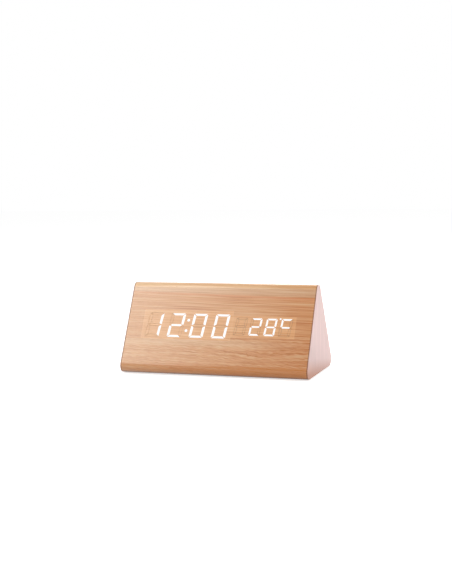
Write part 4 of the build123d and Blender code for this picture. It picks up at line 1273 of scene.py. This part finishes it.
def plain_finish(finish):
    """A material for one finish of the table."""
    material, tree, shader = new_material(finish.name, finish.roughness, finish.metallic)
    add = partial(add_node, tree)
    place = add("ShaderNodeTexCoord").outputs["Object"]
    grain = finish.grain if isinstance(finish.grain, tuple) else (finish.grain,) * 3
    sizes = [1 / (size * mm) for size in grain]
    spread = add("ShaderNodeVectorMath", place, sizes, operation="MULTIPLY")
    noise = add("ShaderNodeTexNoise", spread, named={"Scale": 1, "Detail": 3})
    mixed = add("ShaderNodeMapRange", noise, 0.35, 0.65)
    tone = add(
        "ShaderNodeMix",
        named={0: mixed, 6: linear(finish.tone), 7: linear(finish.second_tone)},
        data_type="RGBA",
    ).outputs[2]
    tree.links.new(tone, shader.inputs["Base Color"])
    least, most = finish.roughness * 0.8, finish.roughness * 1.2
    gloss = add("ShaderNodeMapRange", noise, named={"To Min": least, "To Max": most})
    tree.links.new(gloss.outputs[0], shader.inputs["Roughness"])
    depth = finish.relief * mm
    relief = add("ShaderNodeBump", named={"Strength": 0.5, "Distance": depth, "Height": noise})
    tree.links.new(relief.outputs[0], shader.inputs["Normal"])
    return material


def circuit_board():
    """Glass cloth in epoxy under green solder mask: deep green, with lighter lines where
    copper tracks lie under the mask, and half gloss."""
    material, tree, shader = new_material("Green circuit board", 0.35)
    add = partial(add_node, tree)
    parts = add("ShaderNodeSeparateXYZ", add("ShaderNodeTexCoord").outputs["Object"])
    flat = add("ShaderNodeCombineXYZ", *[parts.outputs[axis] for axis in (0, 2, 1)])
    tracks = add(
        "ShaderNodeTexBrick",
        flat,
        named={
            "Color1": linear("#1F6B3A"),
            "Color2": linear("#23733F"),
            "Mortar": linear("#3F9A5A"),
            "Scale": 1,
            "Mortar Size": 0.3 * mm,
            "Brick Width": 7 * mm,
            "Row Height": 2.5 * mm,
        },
    )
    tree.links.new(tracks.outputs["Color"], shader.inputs["Base Color"])
    relief = add(
        "ShaderNodeBump",
        named={"Strength": 0.4, "Distance": 0.03 * mm, "Height": tracks.outputs["Fac"]},
    )
    tree.links.new(relief.outputs[0], shader.inputs["Normal"])
    return material


CELL_PITCH = 11 * mm
CELL_BAND_START = 12 * mm


def cell_jacket():
    """Printed plastic sleeve on a battery cell: dark grey-green with a copper-coloured band
    at the end with the nub, which lies left and right by turns from one cell to the next,
    and bare steel on both end faces, glossy."""
    material, tree, shader = new_material("Sleeved battery cell", 0.28)
    add = partial(add_node, tree)
    normal = add("ShaderNodeNewGeometry").outputs["True Normal"]
    facing = add("ShaderNodeSeparateXYZ", normal).outputs[0]
    turned = add("ShaderNodeMath", facing, operation="ABSOLUTE")
    bare = add("ShaderNodeMath", turned, 0.7, operation="GREATER_THAN")
    place = add("ShaderNodeTexCoord").outputs["Object"]
    parts = add("ShaderNodeSeparateXYZ", place)
    lane = add("ShaderNodeMath", parts.outputs[1], 1 / CELL_PITCH, 2, operation="MULTIPLY_ADD")
    cell = add("ShaderNodeMath", lane, operation="FLOOR")
    odd = add("ShaderNodeMath", cell, 2, operation="MODULO")
    side = add("ShaderNodeMath", odd, -2, 1, operation="MULTIPLY_ADD")
    along = add("ShaderNodeMath", parts.outputs[0], side, operation="MULTIPLY")
    band = add("ShaderNodeMath", along, CELL_BAND_START, operation="GREATER_THAN")
    scuffs = add("ShaderNodeTexNoise", place, named={"Scale": 1 / (2 * mm), "Detail": 3})
    worn = add("ShaderNodeMapRange", scuffs, 0.55, 0.75, 0, 0.12)
    seen = linear("#2E3A36")
    for share, colour in ((band, "#A86B3C"), (worn, "#C8C8C2"), (bare, "#C4C4BF")):
        seen = add(
            "ShaderNodeMix", named={0: share, 6: seen, 7: linear(colour)}, data_type="RGBA"
        ).outputs[2]
    tree.links.new(seen, shader.inputs["Base Color"])
    tree.links.new(bare.outputs[0], shader.inputs["Metallic"])
    return material


def clock_material(slot):
    """The material of a slot, made when it is first asked for."""
    special = {
        "wood_film": lambda scene: wood_print("Wood print vinyl film", scene.clock_film),
        "end_film": lambda scene: end_print(scene.clock_film),
        "lit_resin": lambda scene: lit_resin(scene.clock_display),
        "circuit_board": lambda scene: circuit_board(),
        "cell_jacket": lambda scene: cell_jacket(),
    }
    if slot not in made_materials:
        made_materials[slot] = (
            special[slot](bpy.context.scene) if slot in special else plain_finish(FINISHES[slot])
        )
    return made_materials[slot]


made_materials = {}


# Operators


class CLOCK_OT_wrap_film(bpy.types.Operator):
    """Make the wood print film that wraps round the case"""

    bl_idname = "clock.wrap_film"
    bl_label = "Wrap film"

    def execute(self, context):
        case = context.scene.clock_case
        back = context.scene.clock_back
        battery = context.scene.clock_battery
        section = section_of(case)
        low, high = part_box("wrap_film")
        film = grow(
            "printed_wrap",
            film_tree(),
            clock_material("wood_film"),
            length=high.x - low.x,
            half_base=section.sharp_half_base,
            slope=section.slope,
            base_height=section.base,
            edge_radius=section.radius,
            edge_steps=case.edge_steps,
            thickness=film_thickness,
        )
        soften(film, case.rim_bevel)
        holes = bmesh.new()
        rear = section.face(1)
        row = back.row_rise - section.half_flat
        reach = 2 * film_thickness
        widths = {node: back.button_width + 2 * back.button_gap for node in BUTTONS}
        widths["power_socket"] = back.socket_hole
        widths["microphone"] = back.microphone_hole
        widths["temperature_sensor"] = back.sensor_hole
        for node, width in widths.items():
            outline = circle(-middle_of(node).x, row, width / 2)
            add_prism(holes, outline, -reach, reach, rear)
        flange = box_high - box_low
        opening = rounded_rectangle(
            flange.x + 2 * battery.opening_gap,
            flange.y + 2 * battery.opening_gap,
            battery.opening_corner + battery.opening_gap,
        )
        under = Matrix.Translation((0, 0, section.base))
        add_prism(holes, opening, -reach, reach, under)
        seam = [
            (side * high.x * 2, section.low_centre + edge * case.seam_width / 2)
            for side, edge in ((-1, -1), (1, -1), (1, 1), (-1, 1))
        ]
        add_prism(holes, seam, -reach, reach, under)
        combine(film, object_of("film_holes", holes), "DIFFERENCE")
        store_wrap(film, section)
        flats = [section.face(side).to_3x3() @ Vector((0, 0, 1)) for side in (-1, 1)]
        shade(film, [*flats, Vector((0, 0, -1))])
        settle(film, CASE, "wood_film", "wrap_film")
        return {"FINISHED"}


class CLOCK_OT_end_films(bpy.types.Operator):
    """Make the pale pink film on each end of the case"""

    bl_idname = "clock.end_films"
    bl_label = "End films"

    def execute(self, context):
        case = context.scene.clock_case
        outline = section_of(case).outline(case.edge_steps)
        upright = Matrix(((0, 0, 1, 0), (1, 0, 0, 0), (0, 1, 0, 0), (0, 0, 0, 1)))
        for side in ("left", "right"):
            node = side + "_end_film"
            low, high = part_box(node)
            film = prism_object(f"pink_{side}_end", outline, low.x, high.x, upright)
            film.data.materials.append(clock_material("end_film"))
            soften(film, case.rim_bevel)
            shade(film, [Vector((1, 0, 0)), Vector((-1, 0, 0))])
            settle(film, CASE, "end_film", node)
        return {"FINISHED"}


def digit_rows():
    """Both rows of digits, with their lit bars: a is the top bar, b and c stand on the
    right, d is the bottom bar, e and f stand on the left, and g is the middle one."""
    lean = math.tan(bpy.context.scene.clock_display.slant)
    colon_rise, degree_rise, degree_gap = 4.3 * mm, 7.15 * mm, 0.4 * mm
    time_middle = -24.55 * mm
    temp_middle, temp_pitch = 36.35 * mm, 11.85 * mm
    degree = temp_middle + temp_pitch + degree_gap + degree_rise * lean
    return [
        DigitRow(
            name="time",
            middle=time_middle,
            rise=0.0,
            pitch=18.1 * mm,
            width=11.7 * mm,
            height=19.8 * mm,
            bar=1.9 * mm,
            post=2.25 * mm,
            corner=1.4 * mm,
            lit=("bc", "abdeg", "abcdef", "abcdef"),
            dot_width=2.3 * mm,
            dots=tuple((time_middle + rise * lean, rise) for rise in (-colon_rise, colon_rise)),
        ),
        DigitRow(
            name="temp",
            middle=temp_middle,
            rise=0.3 * mm,
            pitch=temp_pitch,
            width=8.7 * mm,
            height=14.1 * mm,
            bar=1.5 * mm,
            post=1.7 * mm,
            corner=1.1 * mm,
            lit=("", "abdeg", "abcdefg", "afg"),
            dot_width=1.38 * mm,
            dots=((degree, degree_rise),),
        ),
    ]


def bar_outlines(row, display):
    """Corners of the seven bars of an upright digit, in the order of their letters."""
    side, top = row.width / 2, row.height / 2
    bar, post = row.bar, row.post
    mitre = math.hypot(bar, post)
    level_mitre = display.bar_gap * mitre / (2 * bar)
    post_mitre = display.bar_gap * mitre / (2 * post)
    end = display.end_gap / 2
    tip = side - post / 2 + end * post / bar - 2 * level_mitre
    level = [
        (level_mitre - side, top),
        (side - level_mitre, top),
        (side - post - level_mitre, top - bar),
        (post + level_mitre - side, top - bar),
    ]
    upright = [
        (side, top - post_mitre),
        (side, end),
        (side - post / 2, end),
        (side - post, end + bar / 2),
        (side - post, top - bar - post_mitre),
    ]
    middle = [
        (tip, 0),
        (tip - post / 2, bar / 2),
        (post / 2 - tip, bar / 2),
        (-tip, 0),
        (post / 2 - tip, -bar / 2),
        (tip - post / 2, -bar / 2),
    ]
    turned = [(level, 1, 1), (upright, 1, 1), (upright, 1, -1), (level, 1, -1)]
    turned += [(upright, -1, -1), (upright, -1, 1), (middle, 1, 1)]
    return [[(x * across, y * up) for x, y in points] for points, across, up in turned]


def trimmed(points, row, steps=7):
    """A bar's corners with the digit's rounded outer corners cut off them."""
    across, up = row.width / 2 - row.corner, row.height / 2 - row.corner
    for quarter, (x, y) in enumerate(((across, up), (-across, up), (-across, -up), (across, -up))):
        for step in range(1, steps):
            turn = (quarter + step / steps) * math.pi / 2
            way = (math.cos(turn), math.sin(turn))
            beyond = [(px - x) * way[0] + (py - y) * way[1] - row.corner for px, py in points]
            kept = []
            for here, point in enumerate(points):
                before = here - 1
                if (beyond[here] > 0) != (beyond[before] > 0):
                    share = beyond[before] / (beyond[before] - beyond[here])
                    kept.append(tuple(a + (b - a) * share for a, b in zip(points[before], point)))
                if beyond[here] <= 0:
                    kept.append(point)
            points = kept
    return points


def softened(points, inset, radius):
    """A bar's corners, pulled in all round and then rounded."""
    ends = points[1:] + points[:1]
    if sum(a[0] * b[1] - b[0] * a[1] for a, b in zip(points, ends)) < 0:
        points = points[::-1]
        ends = points[1:] + points[:1]
    ways = [math.atan2(b[1] - a[1], b[0] - a[0]) - math.pi / 2 for a, b in zip(points, ends)]
    made = []
    for here, (x, y) in enumerate(points):
        before = ways[here - 1]
        turn = (ways[here] - before) % math.tau
        back = (inset + radius) / math.cos(turn / 2)
        across = x - back * math.cos(before + turn / 2)
        up = y - back * math.sin(before + turn / 2)
        made += arc(across, up, radius, before, turn, max(1, round(turn / 0.5)))
    return made


def digit_object(row, display, inset):
    """One slanted digit with all seven bars, each marked with its number."""
    lean = math.tan(display.slant)
    face = bmesh.new()
    bar = face.faces.layers.int.new("bar")
    for number, outline in enumerate(bar_outlines(row, display)):
        rounded = softened(trimmed(outline, row), inset, display.bar_round)
        corners = [face.verts.new((x + y * lean, y, 0)) for x, y in rounded]
        made = face.faces.new(corners)
        made.normal_update()
        if made.normal.z < 0:
            made.normal_flip()
        made[bar] = number
    return object_of("digit_bars", face)


def bar_code(letters):
    """A digit's lit bars as one number, with one bit for each bar."""
    return sum(1 << "abcdefg".index(letter) for letter in letters)


def make_digits(context, ending, unlit, height, material, slot):
    """Makes the lit bars, or the outlines of the unlit ones, of both rows."""
    display = context.scene.clock_display
    section = section_of(context.scene.clock_case)
    tree = digits_tree()
    pieces = []
    for row in digit_rows():
        digit = digit_object(row, display, 0 if unlit else display.glow_inset)
        digit.data.materials.append(material)
        codes = zip(("first", "second", "third", "fourth"), map(bar_code, row.lit))
        piece = grow(
            row.name + ending,
            tree,
            material,
            digit=digit,
            pitch=row.pitch,
            row_middle=row.middle,
            unlit=unlit,
            height=height,
            outline_width=display.outline_width,
            face_slope=section.slope,
            face_middle=section.face(-1) @ Vector((0, row.rise, 0)),
            **{place + "_digit": code for place, code in codes},
        )
        bpy.data.objects.remove(digit)
        pieces.append(settle(piece, CASE, slot))
    return pieces


class CLOCK_OT_lit_bars(bpy.types.Operator):
    """Make the bars and dots that shine through the film"""

    bl_idname = "clock.lit_bars"
    bl_label = "Lit bars"

    def execute(self, context):
        display = context.scene.clock_display
        glow = clock_material("lit_resin")
        make_digits(context, "_bars_glow", False, display.glow_height, glow, "lit_resin")
        front = section_of(context.scene.clock_case).face(-1)
        for row in digit_rows():
            dots = bmesh.new()
            for across, up in row.dots:
                outline = circle(across, up, row.dot_width / 2, 24)
                add_prism(dots, outline, 0, display.glow_height, front)
            piece = object_of(row.name + "_dots_glow", dots)
            piece.data.materials.append(glow)
            settle(piece, CASE, "lit_resin")
        return {"FINISHED"}


class CLOCK_OT_unlit_bars(bpy.types.Operator):
    """Make the faint outlines of the unlit bars behind the film"""

    bl_idname = "clock.unlit_bars"
    bl_label = "Unlit bars"

    def execute(self, context):
        height = context.scene.clock_display.outline_height
        film = context.scene.clock_film
        section = section_of(context.scene.clock_case)
        faint = wood_print("Wood print vinyl film, over a gap", film, GAP_SHADE)
        for piece in make_digits(context, "_bars_faint", True, height, faint, "wood_film"):
            store_wrap(piece, section)
        return {"FINISHED"}


class CLOCK_OT_feet(bpy.types.Operator):
    """Make the four round foam feet"""

    bl_idname = "clock.feet"
    bl_label = "Feet"

    def execute(self, context):
        case = context.scene.clock_case
        low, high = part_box("feet")
        radius, edge = case.foot_width / 2, case.foot_round
        profile = [(0, 0), *arc(radius - edge, edge, edge, -math.pi / 2, math.pi / 2, 5)]
        profile += [(radius, foot_height), (0, foot_height)]
        length, width = [high[axis] - low[axis] - case.foot_width for axis in (0, 1)]
        foot = object_of("one_foot", turned_mesh(profile, 40))
        feet = copies_of(foot, "foam_feet", "foot_foam", 2, 2, length, width)
        settle(feet, CASE, "foot_foam", "feet")
        return {"FINISHED"}


class CLOCK_OT_buttons(bpy.types.Operator):
    """Make the three push buttons in the back"""

    bl_idname = "clock.buttons"
    bl_label = "Buttons"

    def execute(self, context):
        back = context.scene.clock_back
        section = section_of(context.scene.clock_case)
        rear = section.face(1)
        row = back.row_rise - section.half_flat
        radius, stand, edge = back.button_width / 2, back.button_stand, back.button_round
        flange_radius, flange_front = back.flange_width / 2, -back.flange_depth
        flange_back = flange_front - back.flange_thickness
        profile = [(0, flange_back), (flange_radius, flange_back)]
        profile += [(flange_radius, flange_front), (radius, flange_front)]
        profile += arc(radius - edge, stand - edge, edge, 0, math.pi / 2, 6)
        profile += [
            (radius * share, stand - back.button_dish * (1 - share**2))
            for share in (0.7, 0.5, 0.25, 0)
        ]
        for node in BUTTONS:
            cap = turned_mesh(profile, 48)
            place = rear @ Matrix.Translation((-middle_of(node).x, row, 0))
            bmesh.ops.transform(cap, matrix=place, verts=cap.verts)
            button = object_of(node + "_cap", cap)
            button.data.materials.append(clock_material("button_abs"))
            shade(button)
            settle(button, node, "button_abs", node)
        return {"FINISHED"}


def door_plate(battery, length, base, top):
    """The battery door's plate with its two tongues."""
    corner = 0.3 * mm
    outline = rounded_rectangle(length, door_high.y - door_low.y, corner, 3)
    door = prism_object("battery_door_moulding", outline, base, top)
    tongue_length, tongue_low, tongue_high = 1.9 * mm, base + 0.5 * mm, base + 1.2 * mm
    tongue = rounded_rectangle(tongue_length, battery.tongue_width, corner, 3)
    parts = bmesh.new()
    for side in (-1, 1):
        across = side * battery.tongue_spacing / 2
        place = Matrix.Translation((door_low.x + tongue_length / 2, across, 0))
        add_prism(parts, tongue, tongue_low, tongue_high, place)
    return combine(door, object_of("door_tongues", parts), "UNION")


def latch_outline(battery, inner, base, top):
    """The latch seen from the side: a strip that bends back on itself and ends in a hook."""
    strip, gap = battery.latch_strip, battery.latch_gap
    bend = strip + gap / 2
    bend_height = base + battery.latch_height - bend
    outer = inner + 2 * bend
    hook_height, hook_rise = base + battery.hook_height, 1 * mm
    outline = [(inner, base), *arc(inner + bend, bend_height, bend, math.pi, -math.pi, 12)]
    outline += [(outer, hook_height + hook_rise), (door_high.x, hook_height)]
    outline += [(outer, hook_height), (outer, base), (outer - strip, base)]
    outline += arc(inner + bend, bend_height, gap / 2, 0, math.pi, 8)
    return outline + [(inner + strip, top), (inner + strip, base)]


class CLOCK_OT_battery_door(bpy.types.Operator):
    """Make the battery door with its tongues, latch and finger ribs"""

    bl_idname = "clock.battery_door"
    bl_label = "Battery door"

    def execute(self, context):
        battery = context.scene.clock_battery
        base = door_low.z
        top = base + battery.door_thickness
        end = battery.door_length / 2
        width = battery.latch_width
        door = door_plate(battery, battery.door_length, base, top)
        latch = latch_outline(battery, end + 0.4 * mm, base, top)
        upright = Matrix(((1, 0, 0, 0), (0, 0, -1, 0), (0, 1, 0, 0), (0, 0, 0, 1)))
        clip = prism_object("door_latch", latch, -width / 2, width / 2, upright)
        combine(door, clip, "UNION")
        link = rounded_rectangle(2 * mm, width, 0.2 * mm, 2)
        place = Matrix.Translation((end, 0, 0))
        combine(door, prism_object("door_bridge", link, base, top, place), "UNION")
        soften(door, battery.door_bevel, math.radians(40))
        door.data.materials.append(clock_material("black_abs"))
        settle(door, "battery_door", "black_abs", "battery_door")

        rib_end, rib_bevel, sunk, from_end = 0.39 * mm, 0.12 * mm, 0.1 * mm, 7 * mm
        outline = rounded_rectangle(battery.rib_width, battery.rib_length, rib_end, 6)
        rib = soften(prism_object("one_rib", outline, -battery.rib_stand, sunk), rib_bevel)
        count = battery.rib_count
        ribs = copies_of(
            rib,
            "battery_door_ribs",
            "black_abs",
            columns=count,
            rows=1,
            length=(count - 1) * battery.rib_pitch,
            width=0.0,
            middle=(end - from_end, 0, base),
        )
        settle(ribs, "battery_door", "black_abs")
        return {"FINISHED"}


class CLOCK_OT_box_screws(bpy.types.Operator):
    """Make the four countersunk screws of the battery box"""

    bl_idname = "clock.box_screws"
    bl_label = "Box screws"

    def execute(self, context):
        battery = context.scene.clock_battery
        low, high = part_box("battery_box_screws")
        head, shank, depth = battery.screw_head / 2, battery.screw_shank / 2, high.z - low.z
        pitch, root = battery.screw_pitch, shank - battery.screw_tooth
        rim_width, rim_height, tip = 0.08 * mm, 0.06 * mm, 0.2 * mm
        profile = [(0, 0), (head - rim_width, 0), (head, rim_height), (shank, head - shank)]
        height = head - shank + pitch / 2
        while height + pitch < depth:
            profile += [(root, height), (shank, height + pitch / 2)]
            height += pitch
        profile += [(root, depth - tip), (0, depth)]
        screw = object_of("one_screw", turned_mesh(profile, 32))
        across, up = battery.slot_length / 2, battery.slot_width / 2
        arm = [(-across, -up), (across, -up), (across, up), (-across, up)]
        for turn in (0, math.pi / 2):
            place = Matrix.Rotation(turn, 4, "Z")
            slot = prism_object("cross_slot", arm, -1 * mm, battery.slot_depth, place)
            combine(screw, slot, "DIFFERENCE")
        length, width = [high[axis] - low[axis] - battery.screw_head for axis in (0, 1)]
        screws = copies_of(
            screw,
            "box_screw_set",
            "screw_steel",
            columns=2,
            rows=2,
            length=length,
            width=width,
            middle=(0, 0, low.z),
            turn=math.pi / 2,
            seed=battery.screw_seed,
        )
        settle(screws, CASE, "screw_steel", "battery_box_screws")
        return {"FINISHED"}


class CLOCK_OT_node_finishes(bpy.types.Operator):
    """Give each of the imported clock's own parts its material"""

    bl_idname = "clock.node_finishes"
    bl_label = "Part finishes"

    def execute(self, context):
        slots = {part["node"]: part["material_slot"] for part in frame["record"]["subparts"]}
        for name, node in frame["nodes"].items():
            material = clock_material(slots[name])
            if not node.data.materials:
                node.data.materials.append(material)
            for place in range(len(node.data.materials)):
                node.data.materials[place] = material
        return {"FINISHED"}


def add_lamp(name, place, aim, length, width, watts):
    """A soft rectangular lamp that looks at a point."""
    data = bpy.data.lights.new(name, "AREA")
    data.shape = "RECTANGLE"
    data.size = length
    data.size_y = width
    data.energy = watts
    lamp = bpy.data.objects.new(name, data)
    bpy.context.scene.collection.objects.link(lamp)
    lamp.location = place
    lamp.rotation_euler = (Vector(aim) - Vector(place)).to_track_quat("-Z", "Y").to_euler()


def seen_straight(tree):
    """One for what the camera, a reflection or clear glass shows, nothing for plain light."""
    add = partial(add_node, tree)
    path = add("ShaderNodeLightPath").outputs
    share = path["Is Camera Ray"]
    for kind in ("Is Glossy Ray", "Is Transmission Ray"):
        share = add("ShaderNodeMath", share, path[kind], operation="MAXIMUM")
    return share


class CLOCK_OT_stage(bpy.types.Operator):
    """Set up the floor, the even light, the lamps and the camera"""

    bl_idname = "clock.stage"
    bl_label = "Stage"

    def execute(self, context):
        scene = context.scene
        stage = scene.clock_stage
        scene.view_settings.view_transform = "Standard"
        half = stage.floor_size / 2
        sheet = bmesh.new()
        corners = [(-half, -half), (half, -half), (half, half), (-half, half)]
        sheet.faces.new([sheet.verts.new((x, y, 0)) for x, y in corners])
        floor = object_of("floor", sheet)
        # Matt white paper, whitened for the camera so that only the soft shadow shows
        paper = bpy.data.materials.new("White paper floor")
        paper.use_nodes = True
        paper.node_tree.nodes.clear()
        add = partial(add_node, paper.node_tree)
        matt = add("ShaderNodeBsdfDiffuse", linear("#E8E8E8"))
        seen = seen_straight(paper.node_tree)
        lift = add("ShaderNodeMath", seen, stage.floor_lift, operation="MULTIPLY")
        glow = add("ShaderNodeEmission", None, lift)
        add("ShaderNodeOutputMaterial", add("ShaderNodeAddShader", matt, glow))
        floor.data.materials.append(paper)

        world = bpy.data.worlds.new("Even light")
        world.use_nodes = True
        scene.world = world
        world.node_tree.nodes.clear()
        add = partial(add_node, world.node_tree)
        seen = seen_straight(world.node_tree)
        sky = stage.sky_strength
        strength = add("ShaderNodeMath", seen, 1 - sky, sky, operation="MULTIPLY_ADD")
        add("ShaderNodeOutputWorld", add("ShaderNodeBackground", (1, 1, 1, 1), strength))

        middle = (cad_low + cad_high) / 2
        add_lamp("key_light", (-0.66, -0.61, 0.89), middle, 0.5, 0.9, stage.key_strength)
        add_lamp("front_light", (-0.2, -1.2, 0.16), middle, 1.2, 0.3, stage.front_strength)
        add_lamp("fill_light", (1.1, -0.35, 0.5), middle, 0.7, 0.7, stage.fill_strength)
        add_lamp("back_light", (0.1, 1.0, 0.9), middle, 0.9, 0.6, stage.back_strength)

        data = bpy.data.cameras.new("photo_camera")
        data.sensor_width = 36
        data.lens = stage.lens
        data.clip_start = 0.01
        camera = bpy.data.objects.new("photo_camera", data)
        scene.collection.objects.link(camera)
        turn = (
            Matrix.Rotation(stage.camera_yaw, 4, "Z")
            @ Matrix.Rotation(math.pi / 2 - stage.camera_pitch, 4, "X")
            @ Matrix.Rotation(stage.camera_roll, 4, "Z")
        )
        camera.matrix_world = Matrix.Translation(stage.camera_place) @ turn
        scene.camera = camera
        return {"FINISHED"}


class CLOCK_PT_panel(bpy.types.Panel):
    """Lists the clock's pieces and settings"""

    bl_idname = "CLOCK_PT_panel"
    bl_label = "Desk clock"
    bl_space_type = "VIEW_3D"
    bl_region_type = "UI"
    bl_category = "Clock"

    def draw(self, context):
        for operator in operators:
            self.layout.operator(operator.bl_idname)
        for name, group in setting_groups.items():
            box = self.layout.box()
            for setting in group.__annotations__:
                box.prop(getattr(context.scene, name), setting)


setting_groups = {
    "clock_case": ClockCaseSettings,
    "clock_film": ClockFilmSettings,
    "clock_display": ClockDisplaySettings,
    "clock_back": ClockBackSettings,
    "clock_battery": ClockBatterySettings,
    "clock_stage": ClockStageSettings,
}
operators = (
    CLOCK_OT_wrap_film,
    CLOCK_OT_end_films,
    CLOCK_OT_lit_bars,
    CLOCK_OT_unlit_bars,
    CLOCK_OT_feet,
    CLOCK_OT_buttons,
    CLOCK_OT_battery_door,
    CLOCK_OT_box_screws,
    CLOCK_OT_node_finishes,
    CLOCK_OT_stage,
)


def register():
    for group in setting_groups.values():
        bpy.utils.register_class(group)
    for name, group in setting_groups.items():
        setattr(bpy.types.Scene, name, PointerProperty(type=group))
    for operator in operators:
        bpy.utils.register_class(operator)
    bpy.utils.register_class(CLOCK_PT_panel)


def unregister():
    bpy.utils.unregister_class(CLOCK_PT_panel)
    for operator in reversed(operators):
        bpy.utils.unregister_class(operator)
    for name, group in setting_groups.items():
        delattr(bpy.types.Scene, name)
        bpy.utils.unregister_class(group)


def main():
    """Makes every piece in order."""
    register()
    bpy.ops.clock.wrap_film()
    bpy.ops.clock.end_films()
    bpy.ops.clock.lit_bars()
    bpy.ops.clock.unlit_bars()
    bpy.ops.clock.feet()
    bpy.ops.clock.buttons()
    bpy.ops.clock.battery_door()
    bpy.ops.clock.box_screws()
    bpy.ops.clock.node_finishes()
    bpy.ops.clock.stage()


if __name__ == "__main__":
    main()
